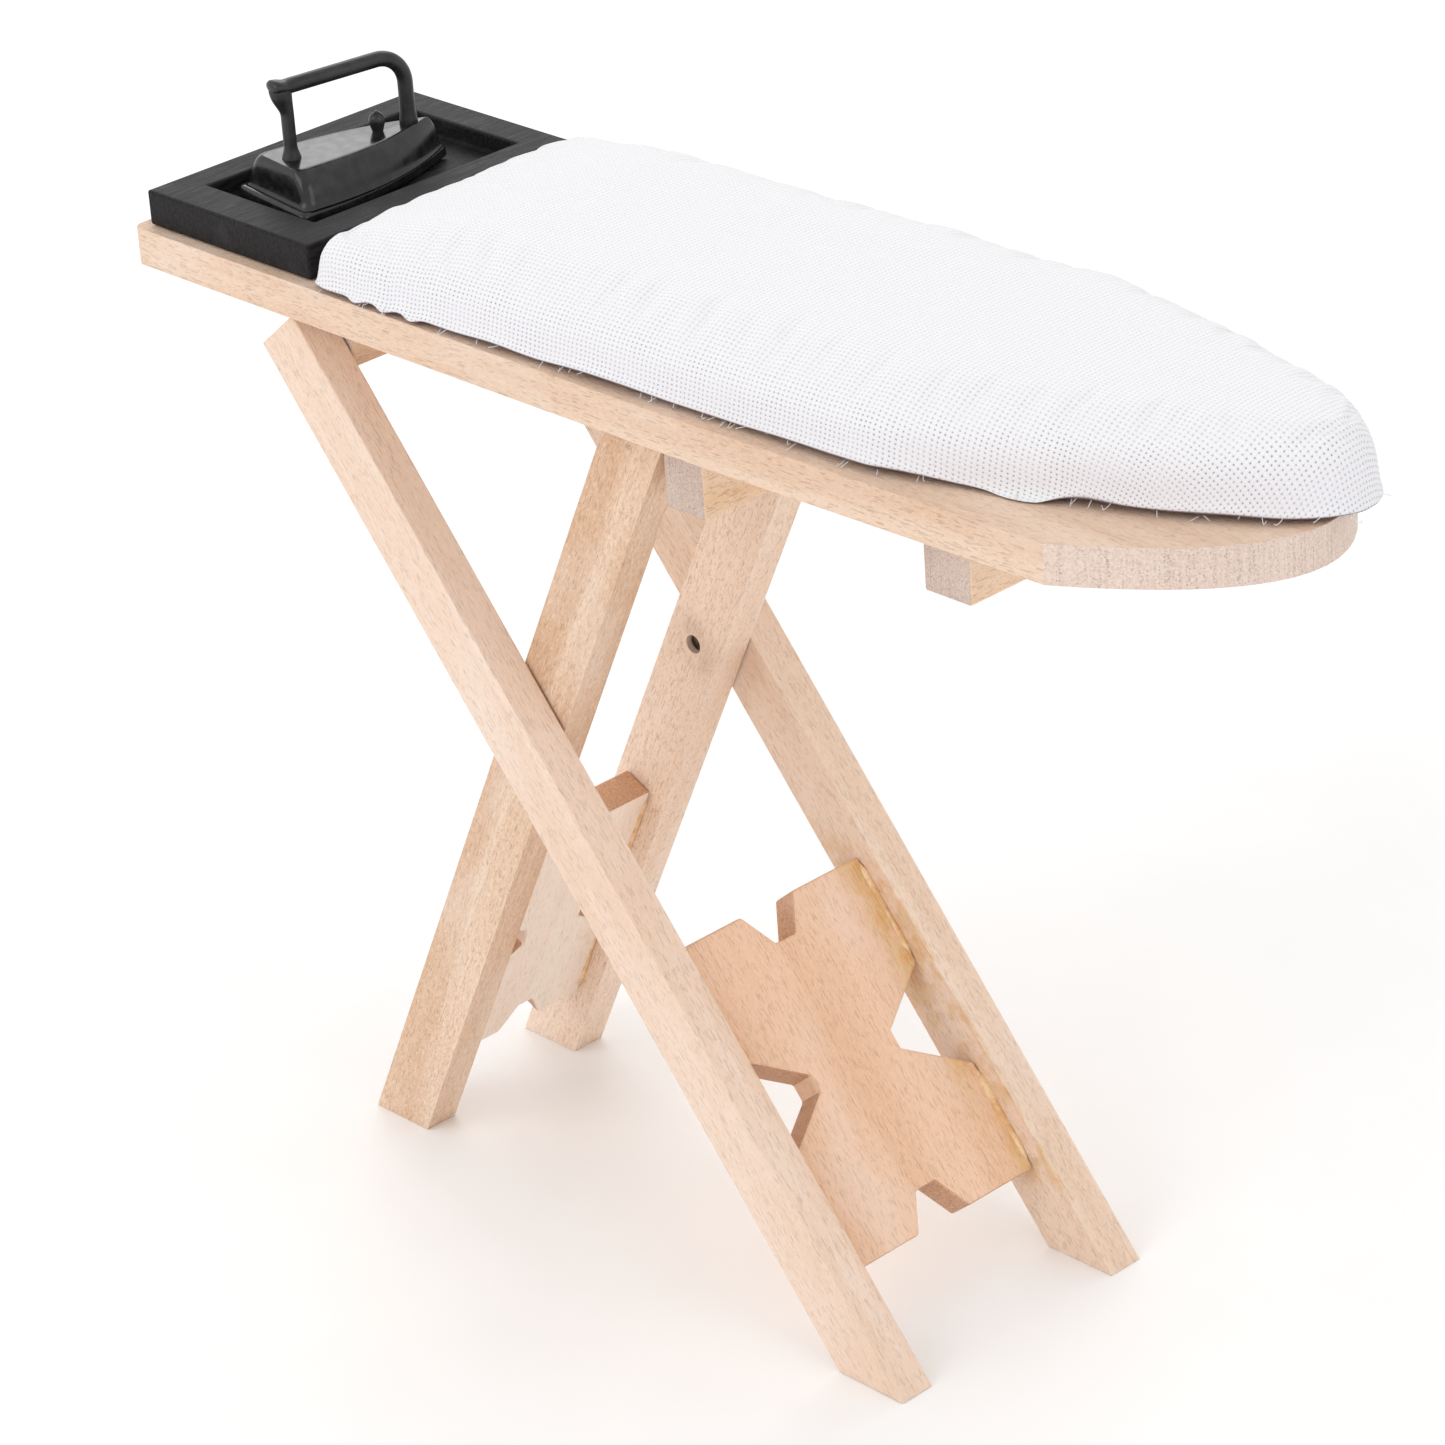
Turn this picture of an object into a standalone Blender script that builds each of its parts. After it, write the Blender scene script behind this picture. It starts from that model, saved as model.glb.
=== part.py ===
"""Dolls'-house folding ironing board with an iron tray and a flat iron.

Metres, +Z up. The board lies along X with its nose towards +X, and its near side is towards -Y.
The model is laid out from the rear end of the board (x = 0), the middle plane of the legs (y = 0)
and the floor (z = 0). The last step centres it over the origin.
"""

import math

import bmesh
import bpy
from mathutils import Matrix, Vector

MM = 0.001

# Clearances
GAP = 0.1 * MM  # between pieces that are glued or rest on each other
LEG_GAP = 0.2 * MM  # between an inner and an outer leg
HINGE_CLEARANCE = 0.1 * MM  # round a pin, in its hole
EASED_EDGE = 0.2 * MM  # sanded edges of the wooden pieces

# Board
UNDERSIDE = 70.4 * MM  # height of the board's underside
BOARD_LENGTH = 104.8 * MM
BOARD_WIDTH = 28.4 * MM
BOARD_THICKNESS = 2.95 * MM
BOARD_OFFSET = 0.8 * MM  # board's middle, from the legs' middle plane
TAPER_LENGTH = 32.0 * MM  # stretch that narrows, in front of the nose
NOSE_LENGTH = 12.3 * MM
NOSE_NARROWING = 1.5 * MM  # of the width, over the taper
REAR_CORNER = 0.9 * MM
NOSE_POINTS = 20

# Iron tray
TRAY_INSET = 1.1 * MM  # from the board's rear end
TRAY_LENGTH = 18.6 * MM
TRAY_SIDE_INSET = 0.95 * MM  # from the board's sides
TRAY_THICKNESS = 2.75 * MM
RECESS_DEPTH = 1.5 * MM
RECESS_REAR_BORDER = 3.0 * MM
RECESS_NOSE_BORDER = 3.3 * MM
RECESS_NEAR_BORDER = 3.5 * MM
RECESS_FAR_BORDER = 2.95 * MM

# Pad
PAD_OVERHANG = 2.3 * MM  # past the nose of the board
PAD_SIDE_OVERHANG = 0 * MM  # past the board's sides
PAD_HEIGHT = 5.4 * MM
PAD_NOSE_LENGTH = 30.5 * MM
PAD_TURN = math.radians(1.95)  # how far its nose turns towards the far side
PAD_CORNER = 2.4 * MM
PAD_ROUNDING = 2.1 * MM  # radius of its upper and lower edges
CLOTH = 0.5 * MM
HEM_WIDTH = 4.0 * MM  # cloth turned under the pad

# Legs
HINGE_X = 17.0 * MM
HINGE_DROP = 3.6 * MM  # hinge axis below the underside
OUTER_ANGLE = math.radians(50.5)  # from the floor
OUTER_WIDTH = 5.0 * MM
OUTER_THICKNESS = 3.1 * MM
OUTER_SPREAD = 25.5 * MM  # over the outer faces of the pair
OUTER_TOP = 2.4 * MM  # wood beyond the hinge axis
PIVOT_DISTANCE = 32.0 * MM  # from the hinge axis, down the outer legs
INNER_ANGLE = math.radians(63.7)
INNER_WIDTH = 5.4 * MM
INNER_THICKNESS = 2.95 * MM

# Notched panels
PANEL_THICKNESS = 2.7 * MM
PANEL_RECESS = 1.7 * MM  # behind the legs' nose-side faces
OUTER_PANEL_RAISE = 7.8 * MM  # from the floor, up the legs
OUTER_PANEL_LENGTH = 26.8 * MM
INNER_PANEL_RAISE = 7.2 * MM  # from the floor, up the legs
INNER_PANEL_LENGTH = 24.1 * MM
# A notch is (width at the mouth, width at the bottom, depth)
OUTER_END_NOTCH = (5.4 * MM, 2.0 * MM, 2.9 * MM)
OUTER_SIDE_NOTCH = (8.6 * MM, 1.4 * MM, 5.3 * MM)
INNER_END_NOTCH = (4.2 * MM, 1.4 * MM, 2.4 * MM)
INNER_SIDE_NOTCH = (6.4 * MM, 1.4 * MM, 3.4 * MM)

# Rail and battens under the board
RAIL_WIDTH = 5.0 * MM
RAIL_HEIGHT = 4.7 * MM
RAIL_NOSE_SIDE = 3.0 * MM  # wood in front of the hinge axis
FOLD_BATTEN_WIDTH = 3.9 * MM
FOLD_BATTEN_HEIGHT = 6.6 * MM
NOSE_BATTEN_SETBACK = 26.4 * MM  # from its rear face to the tip of the nose
NOSE_BATTEN_WIDTH = 4.3 * MM
NOSE_BATTEN_HEIGHT = 5.6 * MM
BATTEN_SIDE_GAP = 0.2 * MM  # to the outer legs, at each end

# Pins
PIN_RADIUS = 0.45 * MM
HINGE_PIN_IN_RAIL = 3.6 * MM
HINGE_PIN_IN_LEG = 2.1 * MM
PIVOT_PIN_IN_LEG = 2.0 * MM
PIN_HEAD_RADIUS = 0.65 * MM
PIN_HEAD_THICKNESS = 0.4 * MM
PIN_HEAD_SUNK = 0.5 * MM  # top of the head, below the wood

# Flat iron
IRON_WIDTH = 9.2 * MM
IRON_TURN = math.radians(-7.5)  # about Z, toe towards the nose of the board
IRON_OFFSET = -0.15 * MM  # of its heel, along X from the middle of the recess
IRON_HEEL_GAP = 1.5 * MM  # from the near wall of the recess
IRON_TOE_GAP = 2.69 * MM  # from the far wall of the recess
SOLE_THICKNESS = 0.9 * MM
HOOD_INSET = 0.6 * MM
HOOD_HEIGHT = 2.6 * MM
HOOD_ROUNDING = 0.5 * MM
BOAT_FULLNESS = 2.3  # higher means fuller sides and a blunter toe
HANDLE_RADIUS = 0.62 * MM
HANDLE_HEIGHT = 5.95 * MM  # middle of the bar above the hood
FRONT_POST = 1.5 * MM  # from the heel
REAR_POST_SETBACK = 3.6 * MM  # from the toe
HANDLE_BEND = 2.4 * MM
HORN_LENGTH = 1.3 * MM
HORN_RADIUS = 0.85 * MM
KNOB_SETBACK = 2.3 * MM  # from the rear post
KNOB_RADIUS = 0.65 * MM
KNOB_HEIGHT = 1.7 * MM

# Worked out from the sizes above
HINGE = Vector((HINGE_X, 0, UNDERSIDE - HINGE_DROP))
DOWN_OUTER = Vector((math.cos(OUTER_ANGLE), 0, -math.sin(OUTER_ANGLE)))
PIVOT = HINGE + DOWN_OUTER * PIVOT_DISTANCE
UP_INNER = Vector((math.cos(INNER_ANGLE), 0, math.sin(INNER_ANGLE)))
OUTER_NOSE_SIDE = Vector((math.sin(OUTER_ANGLE), 0, math.cos(OUTER_ANGLE)))
INNER_NOSE_SIDE = Vector((math.sin(INNER_ANGLE), 0, -math.cos(INNER_ANGLE)))
OUTER_OPENING = OUTER_SPREAD - 2 * OUTER_THICKNESS  # between the outer legs
INNER_SPREAD = OUTER_OPENING - 2 * LEG_GAP
INNER_OPENING = INNER_SPREAD - 2 * INNER_THICKNESS
BOARD_TOP = UNDERSIDE + BOARD_THICKNESS
NOSE_WIDTH = BOARD_WIDTH - NOSE_NARROWING
TRAY_WIDTH = BOARD_WIDTH - 2 * TRAY_SIDE_INSET
TRAY_FRONT = TRAY_INSET + TRAY_LENGTH
RECESS_LENGTH = TRAY_LENGTH - RECESS_REAR_BORDER - RECESS_NOSE_BORDER
RECESS_WIDTH = TRAY_WIDTH - RECESS_NEAR_BORDER - RECESS_FAR_BORDER
RECESS_X = TRAY_INSET + RECESS_REAR_BORDER + RECESS_LENGTH / 2
IRON_LENGTH = (RECESS_WIDTH - IRON_HEEL_GAP - IRON_TOE_GAP) / math.cos(IRON_TURN)
REAR_POST = IRON_LENGTH - REAR_POST_SETBACK  # from the heel
KNOB_POSITION = REAR_POST - KNOB_SETBACK  # from the heel
PAD_LENGTH = BOARD_LENGTH + PAD_OVERHANG - TRAY_FRONT - GAP
PAD_WIDTH = BOARD_WIDTH + 2 * PAD_SIDE_OVERHANG
OUTER_PANEL_TOP = HINGE.z / math.sin(OUTER_ANGLE) - OUTER_PANEL_RAISE - OUTER_PANEL_LENGTH
INNER_PANEL_TOP = PIVOT.z / math.sin(INNER_ANGLE) - INNER_PANEL_RAISE - INNER_PANEL_LENGTH
RECESS_FLOOR = BOARD_TOP + GAP + TRAY_THICKNESS - RECESS_DEPTH
# The inner legs end where their rear top corner meets the underside
INNER_TOP = (UNDERSIDE - LEG_GAP - PIVOT.z - INNER_WIDTH / 2 * math.cos(INNER_ANGLE)) / math.sin(
    INNER_ANGLE
)
INNER_TOP_CORNER = PIVOT + UP_INNER * INNER_TOP + INNER_NOSE_SIDE * INNER_WIDTH / 2


def clear_scene():
    for obj in list(bpy.data.objects):
        bpy.data.objects.remove(obj, do_unlink=True)


def new_collection(name, hidden):
    collection = bpy.data.collections.new(name)
    bpy.context.scene.collection.children.link(collection)
    collection.hide_render = hidden
    return collection


clear_scene()
MODEL = new_collection("ironing_board", hidden=False)
CUTTERS = new_collection("cutters", hidden=True)


def new_material(name, colour, roughness, metallic=0.0):
    material = bpy.data.materials.new(name)
    material.use_nodes = True
    shader = material.node_tree.nodes["Principled BSDF"]
    shader.inputs["Base Color"].default_value = (*colour, 1.0)
    shader.inputs["Roughness"].default_value = roughness
    shader.inputs["Metallic"].default_value = metallic
    return material


def beech(name, tone):
    """Pale beech; a tone under 1 is darker."""
    return new_material(name, (0.84 * tone, 0.66 * tone, 0.49 * tone), 0.6)


def black_paint(name):
    return new_material(name, (0.035, 0.034, 0.038), 0.55)


def black_enamel(name):
    return new_material(name, (0.012, 0.012, 0.014), 0.22)


def cloth(name):
    return new_material(name, (0.86, 0.86, 0.88), 0.9)


def wadding(name):
    return new_material(name, (0.8, 0.78, 0.74), 0.95)


def steel(name):
    return new_material(name, (0.55, 0.53, 0.5), 0.35, 0.9)


def link(obj, collection=MODEL, material=None, parent=None):
    """Put obj in a collection, give it a material and a parent that is only moved, never turned."""
    collection.objects.link(obj)
    if material:
        obj.data.materials.clear()
        obj.data.materials.append(material)
    if parent:
        obj.parent = parent
        obj.location -= parent.location
    return obj


def new_empty(name, location, parent=None):
    empty = bpy.data.objects.new(name, None)
    empty.empty_display_size = 5 * MM
    empty.location = location
    return link(empty, parent=parent)


def mesh_object(name, bm):
    mesh = bpy.data.meshes.new(name)
    bm.to_mesh(mesh)
    bm.free()
    return bpy.data.objects.new(name, mesh)


def box(name, size, centre):
    bm = bmesh.new()
    bmesh.ops.create_cube(bm, size=1.0)
    bmesh.ops.scale(bm, vec=size, verts=bm.verts)
    obj = mesh_object(name, bm)
    obj.location = centre
    return obj


def cylinder_y(name, radius, y_from, y_to, x, z, segments=24):
    """A cylinder along Y, between y_from and y_to."""
    bm = bmesh.new()
    bmesh.ops.create_cone(
        bm,
        cap_ends=True,
        segments=segments,
        radius1=radius,
        radius2=radius,
        depth=abs(y_to - y_from),
        matrix=Matrix.Rotation(math.pi / 2, 4, "X"),
    )
    obj = mesh_object(name, bm)
    obj.location = (x, (y_from + y_to) / 2, z)
    shade_round(obj)
    return obj


def shade_round(obj):
    """Smooth sides, flat ends."""
    for polygon in obj.data.polygons:
        polygon.use_smooth = len(polygon.vertices) == 4


def solid_from_curve(obj):
    """Turn a curve object into a mesh object of the same name, with its caps joined on."""
    name = obj.name
    obj.name = name + "_curve"
    CUTTERS.objects.link(obj)
    graph = bpy.context.evaluated_depsgraph_get()
    mesh = bpy.data.meshes.new_from_object(obj.evaluated_get(graph))
    solid = bpy.data.objects.new(name, mesh)
    solid.matrix_world = obj.matrix_world.copy()
    bpy.data.objects.remove(obj, do_unlink=True)
    bm = bmesh.new()
    bm.from_mesh(mesh)
    bmesh.ops.remove_doubles(bm, verts=bm.verts, dist=MM / 1000)
    bmesh.ops.recalc_face_normals(bm, faces=bm.faces)
    bm.to_mesh(mesh)
    bm.free()
    return solid


def outline_solid(name, outline, thickness, rounding=0.0, rounding_steps=3):
    """A flat piece in its own XY plane, thickness / 2 to each side, with rounded rims if asked."""
    curve = bpy.data.curves.new(name, "CURVE")
    curve.dimensions = "2D"
    curve.fill_mode = "BOTH"
    curve.extrude = thickness / 2 - rounding
    curve.bevel_depth = rounding
    curve.bevel_resolution = rounding_steps
    curve.offset = -rounding
    spline = curve.splines.new("POLY")
    spline.points.add(len(outline) - 1)
    for point, (x, y) in zip(spline.points, outline):
        point.co = (x, y, 0, 1)
    spline.use_cyclic_u = True
    return solid_from_curve(bpy.data.objects.new(name, curve))


def stood_up(obj, thickness_middle):
    """Turn a piece drawn in XY so that its Y points up, with its middle at y = thickness_middle."""
    obj.rotation_euler = (math.pi / 2, 0, 0)
    obj.location.y = thickness_middle
    return obj


def ease_edges(obj, width=EASED_EDGE):
    bevel = obj.modifiers.new("eased_edges", "BEVEL")
    bevel.width = width
    bevel.segments = 2
    bevel.limit_method = "ANGLE"
    bevel.angle_limit = math.radians(35)
    bevel.harden_normals = False
    return obj


def combine(obj, other, operation):
    CUTTERS.objects.link(other)
    other.hide_render = True
    other.display_type = "WIRE"
    if obj.parent:
        other.parent = obj.parent
        other.location -= obj.parent.location
    boolean = obj.modifiers.new(other.name, "BOOLEAN")
    boolean.operation = operation
    boolean.solver = "EXACT"
    boolean.object = other


def cut(obj, other):
    combine(obj, other, "DIFFERENCE")


def join(obj, other):
    combine(obj, other, "UNION")


def corner_arc(centre, radius, start, steps=5):
    """A quarter circle, anticlockwise from the angle start, in degrees."""
    angles = [math.radians(start + 90 * step / steps) for step in range(steps + 1)]
    return [(centre[0] + radius * math.cos(a), centre[1] + radius * math.sin(a)) for a in angles]


def nose_curve(tip_x, length, half_width, points):
    """The points of x = tip_x - length * (y / half_width) ** 2, from the near side to the far side."""
    across = [-half_width + 2 * half_width * step / points for step in range(points + 1)]
    return [(tip_x - length * (y / half_width) ** 2, y) for y in across]


def board_outline():
    half = BOARD_WIDTH / 2
    nose_half = NOSE_WIDTH / 2
    taper_start = BOARD_LENGTH - NOSE_LENGTH - TAPER_LENGTH
    near_rear = corner_arc((REAR_CORNER, -half + REAR_CORNER), REAR_CORNER, 180)
    far_rear = corner_arc((REAR_CORNER, half - REAR_CORNER), REAR_CORNER, 90)
    nose = nose_curve(BOARD_LENGTH, NOSE_LENGTH, nose_half, NOSE_POINTS)
    return [*near_rear, (taper_start, -half), *nose, (taper_start, half), *far_rear]


def make_board(parent):
    board = outline_solid("board", board_outline(), BOARD_THICKNESS)
    board.location = (0, BOARD_OFFSET, UNDERSIDE + BOARD_THICKNESS / 2)
    link(board, material=beech("board_beech", 1.0), parent=parent)
    return ease_edges(board)


def make_iron_tray(parent):
    middle_x = TRAY_INSET + TRAY_LENGTH / 2
    middle_z = BOARD_TOP + GAP + TRAY_THICKNESS / 2
    tray = box(
        "iron_tray",
        (TRAY_LENGTH, TRAY_WIDTH, TRAY_THICKNESS),
        (middle_x, BOARD_OFFSET, middle_z),
    )
    link(tray, material=black_paint("tray_black_paint"), parent=parent)
    above = 2 * MM
    centre = (
        RECESS_X,
        BOARD_OFFSET + (RECESS_NEAR_BORDER - RECESS_FAR_BORDER) / 2,
        RECESS_FLOOR + (RECESS_DEPTH + above) / 2,
    )
    size = (RECESS_LENGTH, RECESS_WIDTH, RECESS_DEPTH + above)
    cut(tray, box("tray_recess", size, centre))
    return ease_edges(tray)


def pad_outline(inset):
    """The pad's outline, laid out from the middle of its rear end, with every side moved in by inset."""
    half = PAD_WIDTH / 2 - inset
    corner = PAD_CORNER - inset / 2
    nose = nose_curve(PAD_LENGTH - inset, PAD_NOSE_LENGTH - inset, half, NOSE_POINTS)
    near_rear = corner_arc((inset + corner, -half + corner), corner, 180)
    far_rear = corner_arc((inset + corner, half - corner), corner, 90)
    return [*near_rear, *nose, *far_rear]


def pad_solid(name, inset, lift, height):
    """A slab of the pad's outline moved in by inset, from lift to lift + height over the board."""
    rounding = max(PAD_ROUNDING - inset, height / 4)
    slab = outline_solid(name, pad_outline(inset), height, rounding)
    slab.rotation_euler = (0, 0, PAD_TURN)
    slab.location = (
        TRAY_FRONT + GAP + PAD_WIDTH / 2 * math.sin(PAD_TURN),
        BOARD_OFFSET,
        BOARD_TOP + GAP + lift + height / 2,
    )
    return slab


def make_pad_cover(parent):
    cover = pad_solid("pad_cover", 0, 0, PAD_HEIGHT)
    link(cover, material=cloth("cover_cloth"), parent=parent)
    cut(cover, pad_solid("cover_hollow", CLOTH, CLOTH, PAD_HEIGHT - 2 * CLOTH))
    opening = outline_solid("hem_opening", pad_outline(HEM_WIDTH), 2 * CLOTH)
    opening.rotation_euler = cover.rotation_euler
    opening.location = cover.location + parent.location
    opening.location.z = BOARD_TOP + GAP + CLOTH / 2
    cut(cover, opening)
    return cover


def make_pad_core(parent):
    inset = CLOTH + GAP
    core = pad_solid("pad_core", inset, inset, PAD_HEIGHT - 2 * inset)
    return link(core, material=wadding("core_wadding"), parent=parent)


def under_board(name, rear_x, width, height, parent, tone):
    """A beech strip across the underside, as long as fits between the outer legs."""
    length = OUTER_OPENING - 2 * BATTEN_SIDE_GAP
    centre = (rear_x + width / 2, 0, UNDERSIDE - GAP - height / 2)
    strip = box(name, (width, length, height), centre)
    link(strip, material=beech(name + "_beech", tone), parent=parent)
    return ease_edges(strip)


def make_hinge_rail(parent):
    rear_x = HINGE_X + RAIL_NOSE_SIDE - RAIL_WIDTH
    rail = under_board("hinge_rail", rear_x, RAIL_WIDTH, RAIL_HEIGHT, parent, 0.93)
    for side in (-1, 1):
        end = side * OUTER_OPENING / 2
        radius = PIN_RADIUS + HINGE_CLEARANCE
        inner_end = end - side * (HINGE_PIN_IN_RAIL + GAP)
        hole = cylinder_y(f"rail_hole_{side}", radius, inner_end, end + side * MM, HINGE.x, HINGE.z)
        cut(rail, hole)
    return rail


def make_battens(parent):
    rear_x = INNER_TOP_CORNER.x + LEG_GAP
    under_board("stop_batten_fold", rear_x, FOLD_BATTEN_WIDTH, FOLD_BATTEN_HEIGHT, parent, 0.95)
    rear_x = BOARD_LENGTH - NOSE_BATTEN_SETBACK
    under_board("stop_batten_nose", rear_x, NOSE_BATTEN_WIDTH, NOSE_BATTEN_HEIGHT, parent, 0.95)


def make_hinge_pins(parent):
    for side, name in ((-1, "hinge_pin_near"), (1, "hinge_pin_far")):
        joint = side * OUTER_OPENING / 2
        inner_end = joint - side * HINGE_PIN_IN_RAIL
        outer_end = joint + side * HINGE_PIN_IN_LEG
        pin = cylinder_y(name, PIN_RADIUS, inner_end, outer_end, HINGE.x, HINGE.z)
        link(pin, material=steel(name + "_steel"), parent=parent)


def leg_outline(through, up, nose_side, width, top):
    """A leg's outline in XZ: level at the floor, square at its top, top beyond the point through."""
    half = nose_side * width / 2
    rear_foot = through - half - up * ((through.z - half.z) / up.z)
    nose_foot = through + half - up * ((through.z + half.z) / up.z)
    nose_top = through + half + up * top
    rear_top = through - half + up * top
    corners = (rear_foot, nose_foot, nose_top, rear_top)
    return [(corner.x - through.x, corner.z - through.z) for corner in corners]


def make_leg(name, outline, origin, middle_y, thickness, parent, tone):
    leg = outline_solid(name, outline, thickness)
    leg.location = origin
    stood_up(leg, middle_y)
    link(leg, material=beech(name + "_beech", tone), parent=parent)
    return leg


def make_outer_legs(parent):
    outline = leg_outline(HINGE, -DOWN_OUTER, OUTER_NOSE_SIDE, OUTER_WIDTH, OUTER_TOP)
    middle = (OUTER_SPREAD - OUTER_THICKNESS) / 2
    face = OUTER_OPENING / 2
    radius = PIN_RADIUS + HINGE_CLEARANCE
    for side, word in ((-1, "near"), (1, "far")):
        name = f"outer_leg_{word}"
        leg = make_leg(name, outline, HINGE, side * middle, OUTER_THICKNESS, parent, 1.0)
        for hole, place, depth in (
            ("hinge", HINGE, HINGE_PIN_IN_LEG),
            ("pivot", PIVOT, PIVOT_PIN_IN_LEG),
        ):
            end = face + depth + GAP
            start = face - MM
            cutter = cylinder_y(
                f"{name}_{hole}_hole", radius, side * start, side * end, place.x, place.z
            )
            cut(leg, cutter)
        ease_edges(leg)


def make_inner_legs(parent):
    outline = leg_outline(PIVOT, UP_INNER, INNER_NOSE_SIDE, INNER_WIDTH, INNER_TOP)
    middle = (INNER_SPREAD - INNER_THICKNESS) / 2
    inside = INNER_OPENING / 2
    outside = INNER_SPREAD / 2
    radius = PIN_RADIUS + HINGE_CLEARANCE
    for side, word in ((-1, "near"), (1, "far")):
        name = f"inner_leg_{word}"
        leg = make_leg(name, outline, PIVOT, side * middle, INNER_THICKNESS, parent, 0.97)
        through = cylinder_y(
            f"{name}_pin_hole", radius, side * (inside - MM), side * (outside + MM), PIVOT.x, PIVOT.z
        )
        cut(leg, through)
        sunk = PIN_HEAD_SUNK + PIN_HEAD_THICKNESS + GAP
        recess = cylinder_y(
            f"{name}_head_recess",
            PIN_HEAD_RADIUS + HINGE_CLEARANCE,
            side * (inside - MM),
            side * (inside + sunk),
            PIVOT.x,
            PIVOT.z,
        )
        cut(leg, recess)
        ease_edges(leg)


def make_pivot_pins(parent):
    """Nails from inside the frame: the head lies sunk in the inner leg, the point in the outer leg."""
    head_top = INNER_OPENING / 2 + PIN_HEAD_SUNK
    point = OUTER_OPENING / 2 + PIVOT_PIN_IN_LEG
    for side, name in ((-1, "pivot_pin_near"), (1, "pivot_pin_far")):
        shank = cylinder_y(name, PIN_RADIUS, side * head_top, side * point, PIVOT.x, PIVOT.z)
        link(shank, material=steel(name + "_steel"), parent=parent)
        head_under = head_top + PIN_HEAD_THICKNESS
        head = cylinder_y(
            name + "_head", PIN_HEAD_RADIUS, side * head_top, side * head_under, PIVOT.x, PIVOT.z
        )
        head.location.y -= side * GAP / 4
        join(shank, head)


def notched_outline(length, width, end_notch, side_notch):
    """A rectangle, 0 to length along X and width across Y, with a flat-bottomed V in each side."""
    half = width / 2
    end_mouth, end_flat, end_depth = (size / 2 for size in end_notch)
    side_mouth, side_flat, side_depth = (size / 2 for size in side_notch)
    end_depth *= 2
    side_depth *= 2
    middle = length / 2
    near = [
        (0, -half),
        (middle - side_mouth, -half),
        (middle - side_flat, -half + side_depth),
        (middle + side_flat, -half + side_depth),
        (middle + side_mouth, -half),
        (length, -half),
    ]
    top = [
        (length, -end_mouth),
        (length - end_depth, -end_flat),
        (length - end_depth, end_flat),
        (length, end_mouth),
    ]
    far = [(x, -y) for x, y in reversed(near)]
    bottom = [(length - x, -y) for x, y in top]
    return [*near, *top, *far, *bottom]


def make_panel(name, outline, axis_point, down, nose_side, leg_width, top, parent):
    """A panel between two legs. It starts top below axis_point and is sunk behind their nose side."""
    middle = leg_width / 2 - PANEL_RECESS - PANEL_THICKNESS / 2
    panel = outline_solid(name, outline, PANEL_THICKNESS)
    across = Vector((0, 1, 0))
    turn = Matrix((down, across, down.cross(across))).transposed()
    panel.rotation_euler = turn.to_euler()
    panel.location = axis_point + down * top + nose_side * middle
    link(panel, material=beech(name + "_beech", 0.96), parent=parent)
    return ease_edges(panel)


def make_outer_panel(parent):
    outline = notched_outline(
        OUTER_PANEL_LENGTH, OUTER_OPENING - 2 * GAP, OUTER_END_NOTCH, OUTER_SIDE_NOTCH
    )
    make_panel(
        "outer_panel",
        outline,
        HINGE,
        DOWN_OUTER,
        OUTER_NOSE_SIDE,
        OUTER_WIDTH,
        OUTER_PANEL_TOP,
        parent,
    )


def make_inner_panel(parent):
    outline = notched_outline(
        INNER_PANEL_LENGTH, INNER_OPENING - 2 * GAP, INNER_END_NOTCH, INNER_SIDE_NOTCH
    )
    make_panel(
        "inner_panel",
        outline,
        PIVOT,
        -UP_INNER,
        INNER_NOSE_SIDE,
        INNER_WIDTH,
        INNER_PANEL_TOP,
        parent,
    )


def boat_outline(length, half_width, steps=14):
    """A square heel at y = 0 and sides x = half_width * (1 - t ** BOAT_FULLNESS) to the toe, t = 1."""
    side = []
    for step in range(steps):
        t = (step / steps) ** 0.75
        side.append((half_width * (1 - t**BOAT_FULLNESS), length * t))
    mirrored = [(-x, y) for x, y in reversed(side)]
    return [*side, (0, length), *mirrored]


def on_iron(obj, height, iron):
    """Stand a piece drawn round the heel at height over the recess floor, turned with the iron."""
    obj.location = iron.location + Vector((0, 0, height))
    obj.rotation_euler = (obj.rotation_euler.x, obj.rotation_euler.y, IRON_TURN)
    return obj


def make_iron_sole(iron):
    sole = outline_solid("iron_sole", boat_outline(IRON_LENGTH, IRON_WIDTH / 2), SOLE_THICKNESS)
    on_iron(sole, SOLE_THICKNESS / 2, iron)
    link(sole, material=black_enamel("sole_enamel"), parent=iron)
    return ease_edges(sole, 0.15 * MM)


def make_iron_hood(iron):
    half = IRON_WIDTH / 2 - HOOD_INSET
    outline = boat_outline(IRON_LENGTH - 3 * HOOD_INSET, half)
    outline = [(x, y + HOOD_INSET) for x, y in outline]
    hood = outline_solid("iron_hood", outline, HOOD_HEIGHT)
    on_iron(hood, SOLE_THICKNESS + GAP + HOOD_HEIGHT / 2, iron)
    link(hood, material=black_enamel("hood_enamel"), parent=iron)
    return ease_edges(hood, HOOD_ROUNDING)


def handle_path():
    """From the rear post's foot, up, round the bend and along the bar to the horn, in (y, z)."""
    bend = [
        (REAR_POST - HANDLE_BEND + dy, HANDLE_HEIGHT - HANDLE_BEND + dz)
        for dy, dz in corner_arc((0, 0), HANDLE_BEND, 0, steps=8)
    ]
    return [(REAR_POST, GAP), *bend, (FRONT_POST - HORN_LENGTH / 2, HANDLE_HEIGHT)]


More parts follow.
